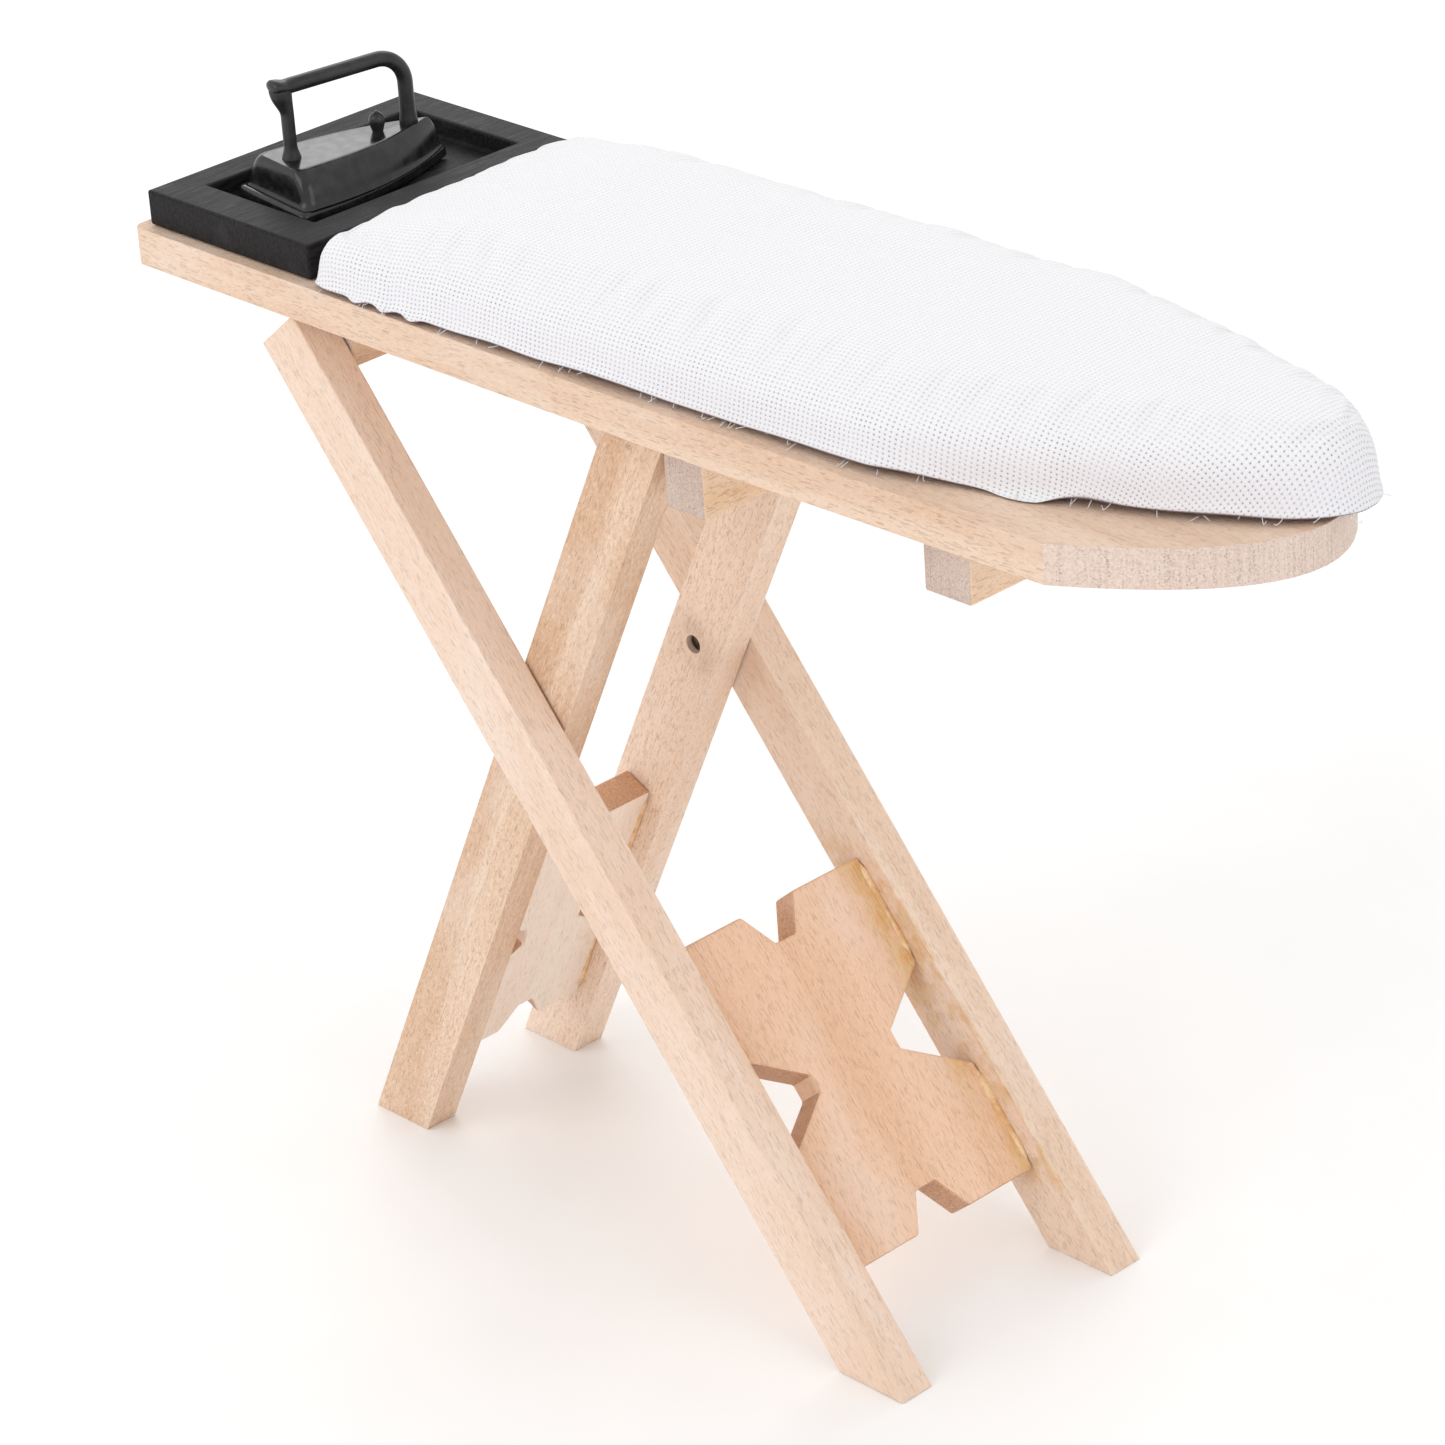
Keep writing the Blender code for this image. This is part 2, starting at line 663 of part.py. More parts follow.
def make_iron_handle(iron):
    curve = bpy.data.curves.new("iron_handle", "CURVE")
    curve.dimensions = "3D"
    curve.bevel_depth = HANDLE_RADIUS
    curve.bevel_resolution = 3
    curve.use_fill_caps = True
    path = handle_path()
    spline = curve.splines.new("POLY")
    spline.points.add(len(path) - 1)
    for point, (y, z) in zip(spline.points, path):
        point.co = (0, y, z, 1)
    handle = solid_from_curve(bpy.data.objects.new("iron_handle", curve))
    foot = SOLE_THICKNESS + GAP + HOOD_HEIGHT
    on_iron(handle, foot, iron)
    link(handle, material=black_enamel("handle_enamel"), parent=iron)

    bm = bmesh.new()
    bmesh.ops.create_cone(
        bm,
        cap_ends=True,
        segments=18,
        radius1=HANDLE_RADIUS,
        radius2=HANDLE_RADIUS,
        depth=HANDLE_HEIGHT - GAP,
        matrix=Matrix.Translation((0, FRONT_POST, (HANDLE_HEIGHT + GAP) / 2)),
    )
    join(handle, on_iron(mesh_object("front_post", bm), foot, iron))

    bm = bmesh.new()
    bmesh.ops.create_cone(
        bm,
        cap_ends=True,
        segments=18,
        radius1=HORN_RADIUS,
        radius2=HANDLE_RADIUS * 0.9,
        depth=HORN_LENGTH,
        matrix=Matrix.Translation((0, FRONT_POST - HORN_LENGTH, HANDLE_HEIGHT))
        @ Matrix.Rotation(-math.pi / 2, 4, "X"),
    )
    join(handle, on_iron(mesh_object("horn", bm), foot, iron))
    return handle


def make_iron_knob(iron):
    bm = bmesh.new()
    bmesh.ops.create_cone(
        bm,
        cap_ends=True,
        segments=20,
        radius1=KNOB_RADIUS,
        radius2=KNOB_RADIUS,
        depth=KNOB_HEIGHT,
        matrix=Matrix.Translation((0, KNOB_POSITION, GAP + KNOB_HEIGHT / 2)),
    )
    knob = mesh_object("iron_knob", bm)
    shade_round(knob)
    on_iron(knob, SOLE_THICKNESS + GAP + HOOD_HEIGHT, iron)
    link(knob, material=black_enamel("knob_enamel"), parent=iron)
    return ease_edges(knob, 0.25 * MM)


def centre_over_origin(root):
    """Move the whole model so that its box is centred over the origin and stands on z = 0."""
    bpy.context.view_layer.update()
    graph = bpy.context.evaluated_depsgraph_get()
    corners = []
    for obj in MODEL.objects:
        if obj.type == "MESH":
            solid = obj.evaluated_get(graph)
            corners += [solid.matrix_world @ Vector(corner) for corner in solid.bound_box]
    low = Vector([min(corner[axis] for corner in corners) for axis in range(3)])
    high = Vector([max(corner[axis] for corner in corners) for axis in range(3)])
    root.location = (-(low.x + high.x) / 2, -(low.y + high.y) / 2, -low.z)


def main():
    root = new_empty("ironing_board_frame", (0, 0, 0))
    outer_frame = new_empty("outer_leg_hinge", HINGE, parent=root)
    inner_frame = new_empty("inner_leg_pivot", PIVOT, parent=root)
    heel_y = BOARD_OFFSET - TRAY_WIDTH / 2 + RECESS_NEAR_BORDER + IRON_HEEL_GAP
    iron_foot = (RECESS_X + IRON_OFFSET, heel_y, RECESS_FLOOR + GAP)
    iron = new_empty("iron_place", iron_foot, parent=root)
    make_board(root)
    make_iron_tray(root)
    make_pad_cover(root)
    make_pad_core(root)
    make_hinge_rail(root)
    make_battens(root)
    make_hinge_pins(root)
    make_outer_legs(outer_frame)
    make_outer_panel(outer_frame)
    make_inner_legs(inner_frame)
    make_inner_panel(inner_frame)
    make_pivot_pins(inner_frame)
    make_iron_sole(iron)
    make_iron_hood(iron)
    make_iron_handle(iron)
    make_iron_knob(iron)
    centre_over_origin(root)


main()
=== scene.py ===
"""Looks of the dolls'-house ironing board: beech, glue, black paint, enamel and woven cloth.

Lengths are in metres unless a name says otherwise. The board lies along X with its nose towards +X.
"""

import math

import bpy
import numpy as np
from mathutils import Matrix, Vector


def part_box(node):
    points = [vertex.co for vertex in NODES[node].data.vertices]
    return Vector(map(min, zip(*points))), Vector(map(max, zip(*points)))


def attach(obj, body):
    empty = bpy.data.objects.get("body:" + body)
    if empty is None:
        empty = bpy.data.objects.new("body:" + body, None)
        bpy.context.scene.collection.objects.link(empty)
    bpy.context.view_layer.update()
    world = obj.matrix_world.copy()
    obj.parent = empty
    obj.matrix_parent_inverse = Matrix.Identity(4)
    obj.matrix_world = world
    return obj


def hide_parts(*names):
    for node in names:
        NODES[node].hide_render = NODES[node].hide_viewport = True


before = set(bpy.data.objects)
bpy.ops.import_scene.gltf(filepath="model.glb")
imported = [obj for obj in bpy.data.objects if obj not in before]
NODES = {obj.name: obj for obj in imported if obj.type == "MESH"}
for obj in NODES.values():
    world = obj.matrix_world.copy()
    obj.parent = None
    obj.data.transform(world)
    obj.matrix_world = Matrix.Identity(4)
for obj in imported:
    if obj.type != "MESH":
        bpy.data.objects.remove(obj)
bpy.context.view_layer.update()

MM = 0.001

# Places read from the frame
BOARD_LOW, BOARD_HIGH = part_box("board")
_, TRAY_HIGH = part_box("iron_tray")
SOLE_LOW, SOLE_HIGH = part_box("iron_sole")
RAIL_LOW, RAIL_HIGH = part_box("hinge_rail")
PANEL_LOW, PANEL_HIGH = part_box("outer_panel")
PIN_LOW, PIN_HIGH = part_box("pivot_pin_far")
BOARD_TOP = BOARD_HIGH.z
LEGS_MIDDLE = (RAIL_LOW.y + RAIL_HIGH.y) / 2
REAR_FLOOR_POINT = Vector((BOARD_LOW.x, LEGS_MIDDLE, 0))
PIVOT = (PIN_LOW + PIN_HIGH) / 2

# The way each pair of legs lies: the angle to the floor in degrees, and the turn that lays the
# grain along X
OUTER_ANGLE = 50.5
INNER_ANGLE = 63.7
OUTER_LEAN = math.radians(180 - OUTER_ANGLE)
INNER_LEAN = math.radians(INNER_ANGLE)
LEG_INNER_FACE_MM = 9.7  # from the middle of the legs
PANEL_HALF_THICKNESS = 1.35 * MM
OUTER_PANEL_HALF_LENGTH = 13.4 * MM
INNER_PANEL_HALF_LENGTH = 12.05 * MM
GLUED_STRETCHES = [(-0.97, -0.36), (0.36, 0.97)]  # shares of the panel's half length

# Pad
PAD_TURN = math.radians(1.95)
PAD_HALF = (BOARD_HIGH.y - BOARD_LOW.y) / 2
PAD_NOSE = 30.5 * MM
PAD_LENGTH = 85.6 * MM
PAD_CROWN = 5.55 * MM
PAD_REAR_HEIGHT = 2.95 * MM
PAD_CORNER = (2.4 * MM, 0.9 * MM)
PAD_GAP = 0.15 * MM  # clear of the tray
PAD_SEAT = 0.06 * MM  # lowest cloth over the board
FOLD_X = 66.4 * MM  # a tuck of the cloth that hangs down at the near side
LIFTED_HEM_X = 70.6 * MM
BUNCHES_X = (5.4 * MM, 8.3 * MM, 11.2 * MM)
PAD_COLUMNS = 420
PAD_TOP_ROWS = 44
THREAD_PITCH_MM = (0.42, 0.33)

# Cloth simulation
CLOTH_SCALE = 20.0
CLOTH_FRAMES = 20
CLOTH_MOST_MOVE = 0.55 * MM
PIN_LEVELS = 10

# Iron
IRON_TURN = math.radians(-7.5)
IRON_LENGTH = 16.0 * MM
IRON_WIDTH = 9.2 * MM
SOLE_THICKNESS = 0.9 * MM
HOOD_HEIGHT = 2.7 * MM
BAR_HEIGHT = 9.2 * MM  # middle of the handle's bar over the tray's floor
REAR_POST_Y = 12.9 * MM  # from the heel
FRONT_POST_Y = 2.4 * MM
HANDLE_BEND = 2.4 * MM
KNOB_Y = 10.1 * MM

# Stage
FLOOR_HALF = 3.0
FLOOR_DROP = 0.02 * MM
CAMERA_DEGREES = (47.63, 26.57, -4.0)  # azimuth, elevation and roll
CAMERA_PLACE_MM = (311.07, -240.74, 219.82)  # from the board's rear end at the floor
CAMERA_LENS = 135.285
WORLD_STRENGTH = 0.87

MERGE_DISTANCE = 1e-7


# ---------------------------------------------------------------- meshes


def mesh_piece(name, points, faces, uv=None):
    """A mesh object at the origin from points (n, 3) and quads (m, 4).

    Points closer than a tenth of a micrometre become one, quads that lose a corner become
    triangles, and the faces are turned outwards by the sign of the volume they enclose.
    """
    keys = np.round(points / MERGE_DISTANCE).astype(np.int64)
    _, first, index = np.unique(keys, axis=0, return_index=True, return_inverse=True)
    faces = index.reshape(-1)[faces]
    points = points[first]
    uv = None if uv is None else uv[first]
    corners = points[faces]
    volume = np.einsum("ij,ij->i", corners[:, 0], np.cross(corners[:, 1], corners[:, 2])).sum()
    volume += np.einsum("ij,ij->i", corners[:, 0], np.cross(corners[:, 2], corners[:, 3])).sum()
    if volume < 0:
        faces = faces[:, ::-1]
    same = faces == np.roll(faces, -1, axis=1)
    lost = same.sum(axis=1)
    quads = faces[lost == 0]
    threes = faces[lost == 1]
    threes = threes[~same[lost == 1]].reshape(-1, 3)
    mesh = bpy.data.meshes.new(name)
    mesh.from_pydata(points.tolist(), [], quads.tolist() + threes.tolist())
    if uv is not None:
        layer = mesh.uv_layers.new(name="cloth")
        loops = np.empty(len(mesh.loops), np.int32)
        mesh.loops.foreach_get("vertex_index", loops)
        layer.data.foreach_set("uv", uv[loops].astype(np.float32).ravel())
    mesh.polygons.foreach_set("use_smooth", np.full(len(mesh.polygons), True))
    mesh.update()
    obj = bpy.data.objects.new(name, mesh)
    bpy.context.scene.collection.objects.link(obj)
    return obj


def grid_faces(rows, columns):
    """Quads of a grid of rows x columns points, joined round the columns."""
    row = np.arange(rows - 1)[:, None] * columns
    column = np.arange(columns)[None, :]
    after = (column + 1) % columns
    quads = [row + column, row + after, row + columns + after, row + columns + column]
    return np.stack(quads, axis=-1).reshape(-1, 4)


def tube(path, side, widths, heights, sides=24):
    """Points and quads of a closed tube along path.

    Each ring is path + side * width * cos(a) + up * height * sin(a), with up square to the path and
    to side. Both ends are closed by three more rings that shrink as a quarter circle.
    """
    path = np.asarray(path, float)
    ahead = np.gradient(path, axis=0)
    ahead /= np.linalg.norm(ahead, axis=1)[:, None]
    side = np.broadcast_to(np.asarray(side, float), path.shape)
    up = np.cross(ahead, side)
    up /= np.linalg.norm(up, axis=1)[:, None]
    widths = np.broadcast_to(widths, len(path))
    heights = np.broadcast_to(heights, len(path))
    turn = np.radians([90, 60, 30])
    reach = np.minimum(widths, heights)
    centres = [path[0] - ahead[0] * reach[0] * 0.6 * np.sin(a) for a in turn]
    centres += list(path)
    centres += [path[-1] + ahead[-1] * reach[-1] * 0.6 * np.sin(a) for a in turn[::-1]]
    shrink = np.concatenate([np.cos(turn), np.ones(len(path)), np.cos(turn[::-1])])
    pick = np.concatenate([[0] * 3, np.arange(len(path)), [len(path) - 1] * 3])
    angle = np.linspace(0, 2 * np.pi, sides, endpoint=False)
    ring = (
        side[pick][:, None] * (widths[pick] * shrink)[:, None, None] * np.cos(angle)[None, :, None]
        + up[pick][:, None] * (heights[pick] * shrink)[:, None, None] * np.sin(angle)[None, :, None]
    )
    points = np.array(centres)[:, None] + ring
    return points.reshape(-1, 3), grid_faces(len(pick), sides)


def smooth_step(value, low, high):
    """0 below low, 1 above high and t * t * (3 - 2 * t) between, with t the share of the way."""
    t = np.clip((value - low) / (high - low), 0, 1)
    return t * t * (3 - 2 * t)


# ---------------------------------------------------------------- node trees


class Finish:
    """A material's node tree, with one short call for each kind of node used here."""

    def __init__(self, name):
        self.material = bpy.data.materials.new(name)
        self.material.use_nodes = True
        self.tree = self.material.node_tree
        self.shader = self.tree.nodes["Principled BSDF"]

    def node(self, kind, inputs, output=0, **settings):
        made = self.tree.nodes.new(kind)
        for key, value in settings.items():
            setattr(made, key, value)
        for key, value in inputs.items():
            if isinstance(value, bpy.types.NodeSocket):
                self.tree.links.new(value, made.inputs[key])
            else:
                made.inputs[key].default_value = value
        return made.outputs[output]

    def math(self, operation, a, b=0.0, clamp=False):
        return self.node("ShaderNodeMath", {0: a, 1: b}, operation=operation, use_clamp=clamp)

    def place(self, source="Object", scale=1.0, turn=(0, 0, 0), shift=(0, 0, 0)):
        coordinates = self.tree.nodes.new("ShaderNodeTexCoord").outputs[source]
        inputs = {
            "Vector": coordinates,
            "Scale": (scale, scale, scale),
            "Rotation": turn,
            "Location": shift,
        }
        return self.node("ShaderNodeMapping", inputs)

    def stretched(self, at, scale, shift=(0, 0, 0)):
        return self.node("ShaderNodeMapping", {"Vector": at, "Scale": scale, "Location": shift})

    def split(self, vector):
        made = self.tree.nodes.new("ShaderNodeSeparateXYZ")
        self.tree.links.new(vector, made.inputs[0])
        return made.outputs

    def noise(self, at, scale=1.0, detail=2.0, roughness=0.5, distortion=0.0):
        inputs = {
            "Vector": at,
            "Scale": scale,
            "Detail": detail,
            "Roughness": roughness,
            "Distortion": distortion,
        }
        return self.node("ShaderNodeTexNoise", inputs)

    def cells(self, at, scale=1.0, randomness=1.0):
        inputs = {"Vector": at, "Scale": scale, "Randomness": randomness}
        return self.node("ShaderNodeTexVoronoi", inputs)

    def ramp(self, value, low, high, to_low=0.0, to_high=1.0):
        inputs = {
            "Value": value,
            "From Min": low,
            "From Max": high,
            "To Min": to_low,
            "To Max": to_high,
        }
        return self.node("ShaderNodeMapRange", inputs, interpolation_type="SMOOTHSTEP")

    def mix(self, share, a, b):
        made = self.tree.nodes.new("ShaderNodeMix")
        made.data_type = "RGBA"
        for socket, value in ((0, share), (6, a), (7, b)):
            if isinstance(value, bpy.types.NodeSocket):
                self.tree.links.new(value, made.inputs[socket])
            elif socket == 0:
                made.inputs[socket].default_value = value
            else:
                made.inputs[socket].default_value = (*value, 1.0)
        return made.outputs[2]

    def bump(self, height, distance, strength=1.0):
        inputs = {"Height": height, "Distance": distance, "Strength": strength}
        return self.node("ShaderNodeBump", inputs)

    def finish(self, **sockets):
        for key, value in sockets.items():
            socket = self.shader.inputs[key.replace("_", " ")]
            if isinstance(value, bpy.types.NodeSocket):
                self.tree.links.new(value, socket)
            elif isinstance(value, tuple):
                socket.default_value = (*value, 1.0)
            else:
                socket.default_value = value
        return self.material


# ---------------------------------------------------------------- finishes

# Beech tones: pale wood, warm wood
LEG_TONES = ((0.90, 0.71, 0.58), (0.83, 0.60, 0.45))
FAR_LEG_TONES = ((0.90, 0.71, 0.57), (0.83, 0.61, 0.46))
BOARD_TONES = ((0.85, 0.64, 0.49), (0.75, 0.51, 0.36))
INNER_TONES = ((0.84, 0.62, 0.46), (0.70, 0.45, 0.29))
INNER_FAR_TONES = ((0.96, 0.77, 0.63), (0.88, 0.65, 0.49))
PANEL_TONES = ((0.91, 0.61, 0.43), (0.82, 0.52, 0.34))
# Inner panel tones: painted paler than plain beech, as painted light on a panel that sits in shade
INNER_PANEL_PAINTED_LIGHT_TONES = ((0.98, 0.87, 0.76), (0.96, 0.80, 0.68))
BATTEN_TONES = ((0.96, 0.73, 0.52), (0.89, 0.61, 0.38))
FLECK_BROWN = (0.50, 0.29, 0.16)
PALE_FIBRE = (0.93, 0.78, 0.64)
END_GRAIN = ((0.71, 0.55, 0.46), (0.83, 0.68, 0.59))
PANEL_END = ((0.56, 0.31, 0.18), (0.72, 0.44, 0.28))
GREY_END = ((0.56, 0.44, 0.38), (0.70, 0.55, 0.46))
END_GRAIN_DOT = (0.40, 0.30, 0.26)
RAY_BROWN = (0.50, 0.30, 0.18)
PALE_PATCH = (0.90, 0.77, 0.68)
# Brown painted into the wood as shade round the legs' crossing
SHADE_BROWN = (0.30, 0.15, 0.07)
GLUE_AMBER = (0.74, 0.42, 0.16)
PALE_GLUE = (0.76, 0.54, 0.28)


def add_grain(finish, at, tones, rays):
    """Beech seen along the grain, which runs along X of at, in millimetres.

    Slow bands of warmer wood, thin growth lines, fine fibres, short brown pores and, by rays, small
    brown and pale flecks. Returns (colour, height).
    """
    pale, warm = tones
    bands = finish.noise(finish.stretched(at, (0.025, 0.30, 0.30)), 1.0, 3.0, 0.55, 0.4)
    colour = finish.mix(finish.ramp(bands, 0.35, 0.7), pale, warm)
    lines = finish.noise(finish.stretched(at, (0.04, 2.6, 2.6)), 1.0, 3.0, 0.6, 0.2)
    colour = finish.mix(finish.ramp(lines, 0.52, 0.64, 0.0, 0.35), colour, warm)
    fibre = finish.noise(finish.stretched(at, (0.8, 11.0, 11.0)), 1.0, 3.0, 0.7)
    colour = finish.mix(finish.ramp(fibre, 0.5, 0.25, 0.0, 0.40), colour, warm)
    colour = finish.mix(finish.ramp(fibre, 0.55, 0.75, 0.0, 0.35), colour, PALE_FIBRE)
    pores = finish.noise(finish.stretched(at, (0.9, 9.0, 9.0), (5, 1, 2)), 1.0, 1.0, 0.4)
    pore_share = finish.ramp(pores, 0.62, 0.72)
    colour = finish.mix(finish.math("MULTIPLY", pore_share, 0.20), colour, FLECK_BROWN)
    flecks = finish.noise(finish.stretched(at, (2.4, 5.0, 5.0), (9, 4, 3)), 1.0, 3.0, 0.65, 0.8)
    colour = finish.mix(finish.ramp(flecks, 0.50, 0.66, 0.0, rays), colour, RAY_BROWN)
    colour = finish.mix(finish.ramp(flecks, 0.46, 0.34, 0.0, rays * 0.8), colour, PALE_FIBRE)
    height = finish.math("ADD", fibre, finish.math("MULTIPLY", flecks, 0.6))
    height = finish.math("SUBTRACT", height, finish.math("MULTIPLY", pore_share, 0.9))
    return colour, height


def add_end_grain(finish, at, base):
    """Beech cut across: rows of small dark dots running along Z of at, with pale rays between.

    Returns (colour, height).
    """
    spots = finish.noise(finish.stretched(at, (1.0, 9.0, 5.0)), 1.0, 3.0, 0.65)
    rows = finish.noise(finish.stretched(at, (0.1, 5.6, 0.10)), 1.0, 3.0, 0.7)
    dots = finish.cells(finish.stretched(at, (1.0, 8.5, 5.4), (3, 7, 1)), 1.0, randomness=0.9)
    colour = finish.mix(finish.ramp(spots, 0.35, 0.68), *base)
    colour = finish.mix(finish.ramp(rows, 0.50, 0.60, 0.0, 0.16), colour, END_GRAIN_DOT)
    in_rows = finish.ramp(rows, 0.40, 0.60, 0.30, 0.9)
    dot_share = finish.math("MULTIPLY", finish.ramp(dots, 0.36, 0.16), in_rows)
    colour = finish.mix(finish.math("MULTIPLY", dot_share, 0.42), colour, END_GRAIN_DOT)
    height = finish.math("SUBTRACT", spots, dot_share)
    return colour, height


def bare_beech(name, turn, tones, rays=0.25, ends=END_GRAIN, glue=None, painted_shade=None, seed=0.0):
    """Sanded bare beech whose grain runs along X after turning the piece by turn.

    Faces square to the grain show end grain. The two functions of (finish, place in mm) give the
    share of amber glue and of painted brown shade on the surface.
    """
    finish = Finish(name)
    place = finish.place(scale=1 / MM)
    at = finish.place(scale=1 / MM, turn=turn, shift=(seed, seed * 0.7, seed * 1.3))
    facing = finish.place("Normal", turn=turn)
    across, grain_height = add_grain(finish, at, tones, rays)
    cut, end_height = add_end_grain(finish, at, ends)
    end_share = finish.ramp(finish.math("ABSOLUTE", finish.split(facing)[0]), 0.38, 0.5)
    colour = finish.mix(end_share, across, cut)
    height = finish.mix(end_share, grain_height, end_height)
    patches = finish.noise(finish.stretched(at, (0.08, 0.16, 0.16), (2, 8, 5)), 1.0, 2.0, 0.5)
    colour = finish.mix(finish.ramp(patches, 0.45, 0.72, 0.0, 0.30), colour, PALE_PATCH)
    rough = finish.ramp(patches, 0.3, 0.7, 0.55, 0.68)
    # Painted brown shade, mixed into the wood's colour
    if painted_shade:
        colour = finish.mix(painted_shade(finish, place), colour, SHADE_BROWN)
    if glue:
        share = glue(finish, place)
        blotch = finish.noise(place, 0.9, 3.0, 0.6)
        amber = finish.mix(finish.ramp(blotch, 0.35, 0.65), GLUE_AMBER, PALE_GLUE)
        colour = finish.mix(share, colour, amber)
        rough = finish.math("SUBTRACT", rough, finish.math("MULTIPLY", share, 0.25))
    normal = finish.bump(height, 0.08 * MM, 0.75)
    return finish.finish(
        Base_Color=colour, Roughness=rough, Normal=normal, Specular_IOR_Level=0.3
    )


def glue_along_panel(finish, place):
    """Smears along the panel's long edges, broken by noise and wider at the far leg."""
    y = finish.split(place)[1]
    far = finish.ramp(y, PANEL_HIGH.y / MM - 3.4, PANEL_HIGH.y / MM - 0.4)
    near = finish.ramp(y, PANEL_LOW.y / MM + 1.6, PANEL_LOW.y / MM + 0.2, 0.0, 0.8)
    broken = finish.noise(finish.stretched(place, (0.22, 0.5, 0.22)), 1.0, 3.0, 0.55)
    edge = finish.math("MAXIMUM", far, near)
    return finish.math("MULTIPLY", edge, finish.ramp(broken, 0.36, 0.52, 0.1, 0.9))


def glue_on_leg(finish, place):
    """A stretch of glue on the leg's inner side, round the height where the panel meets it."""
    _, y, z = finish.split(place)
    level = finish.math(
        "MULTIPLY",
        finish.ramp(z, PANEL_LOW.z / MM - 1.0, PANEL_LOW.z / MM + 1.5),
        finish.ramp(z, PANEL_HIGH.z / MM + 2.0, PANEL_HIGH.z / MM - 1.0),
    )
    inside = finish.math("ABSOLUTE", finish.math("SUBTRACT", y, LEGS_MIDDLE / MM))
    face = finish.ramp(inside, LEG_INNER_FACE_MM + 0.5, LEG_INNER_FACE_MM)
    broken = finish.noise(finish.stretched(place, (0.5, 1.0, 0.5)), 1.0, 3.0, 0.6)
    share = finish.math("MULTIPLY", level, finish.ramp(broken, 0.42, 0.6, 0.0, 0.55))
    return finish.math("MULTIPLY", share, face)


def shade_round_pivot(finish, place):
    """Painted brown shade round the crossing, where the legs overlap, a few millimetres wide."""
    x, _, z = finish.split(place)
    dx = finish.math("SUBTRACT", x, PIVOT.x / MM)
    dz = finish.math("SUBTRACT", z, PIVOT.z / MM)
    distance = finish.math(
        "SQRT",
        finish.math("ADD", finish.math("MULTIPLY", dx, dx), finish.math("MULTIPLY", dz, dz)),
    )
    blotch = finish.noise(finish.stretched(place, (0.6, 0.6, 0.25)), 1.0, 3.0, 0.6)
    near = finish.ramp(distance, 4.0, 0.8, 0.0, 0.30)
    return finish.math("MULTIPLY", near, finish.ramp(blotch, 0.35, 0.65, 0.2, 1.0))


def glue_on_batten(finish, place):
    """Glue squeezed out along the batten's top edge, broken by noise."""
    z = finish.split(place)[2]
    top = finish.ramp(z, RAIL_HIGH.z / MM - 2.6, RAIL_HIGH.z / MM - 0.2, 0.0, 0.8)
    broken = finish.noise(place, 0.6, 3.0, 0.6)
    return finish.math("MULTIPLY", top, finish.ramp(broken, 0.45, 0.6))


def painted_tray():
    """Matt black paint brushed along Y, with brush marks, grit, worn blotches and pale specks."""
    finish = Finish("brushed_black_paint")
    at = finish.place(scale=1 / MM)
    strokes = finish.noise(finish.stretched(at, (4.0, 0.35, 3.0)), 1.0, 4.0, 0.65, 0.2)
    grit = finish.noise(at, 6.0, 3.0, 0.6)
    blotch = finish.noise(at, 0.35, 3.0, 0.6)
    black, dry_black = (0.010, 0.009, 0.010), (0.028, 0.026, 0.028)
    colour = finish.mix(finish.ramp(strokes, 0.35, 0.7), black, dry_black)
    colour = finish.mix(finish.ramp(blotch, 0.5, 0.75, 0.0, 0.35), colour, (0.05, 0.047, 0.05))
    specks = finish.cells(at, 1.3)
    colour = finish.mix(finish.ramp(specks, 0.05, 0.02, 0.0, 0.35), colour, (0.40, 0.36, 0.34))
    rough = finish.ramp(strokes, 0.3, 0.7, 0.40, 0.60)
    height = finish.math("ADD", strokes, finish.math("MULTIPLY", grit, 0.35))
    normal = finish.bump(height, 0.10 * MM, 0.6)
    return finish.finish(
        Base_Color=colour, Roughness=rough, Normal=normal, Specular_IOR_Level=0.11
    )


def black_enamel(name, gloss):
    """Dipped black enamel on cast metal, with slight orange peel and dust."""
    finish = Finish(name)
    at = finish.place(scale=1 / MM)
    peel = finish.noise(at, 1.1, 2.0, 0.5)
    dust = finish.noise(at, 9.0, 2.0, 0.6)
    black, thin_black = (0.008, 0.008, 0.009), (0.020, 0.019, 0.020)
    colour = finish.mix(finish.ramp(peel, 0.3, 0.7), black, thin_black)
    colour = finish.mix(finish.ramp(dust, 0.66, 0.74, 0.0, 0.18), colour, (0.30, 0.29, 0.29))
    rough = finish.ramp(peel, 0.3, 0.7, gloss, gloss + 0.09)
    normal = finish.bump(peel, 0.02 * MM, 0.3)
    return finish.finish(Base_Color=colour, Roughness=rough, Normal=normal, Specular_IOR_Level=0.5)


def dull_steel():
    """Plain wire nail with a brown skin of rust in patches."""
    finish = Finish("dull_nail_steel")
    at = finish.place(scale=1 / MM)
    rust = finish.noise(at, 2.5, 3.0, 0.6)
    colour = finish.mix(finish.ramp(rust, 0.4, 0.65), (0.10, 0.075, 0.06), (0.06, 0.032, 0.018))
    rough = finish.ramp(rust, 0.4, 0.65, 0.38, 0.8)
    normal = finish.bump(rust, 0.03 * MM, 0.5)
    return finish.finish(Base_Color=colour, Roughness=rough, Metallic=0.7, Normal=normal)


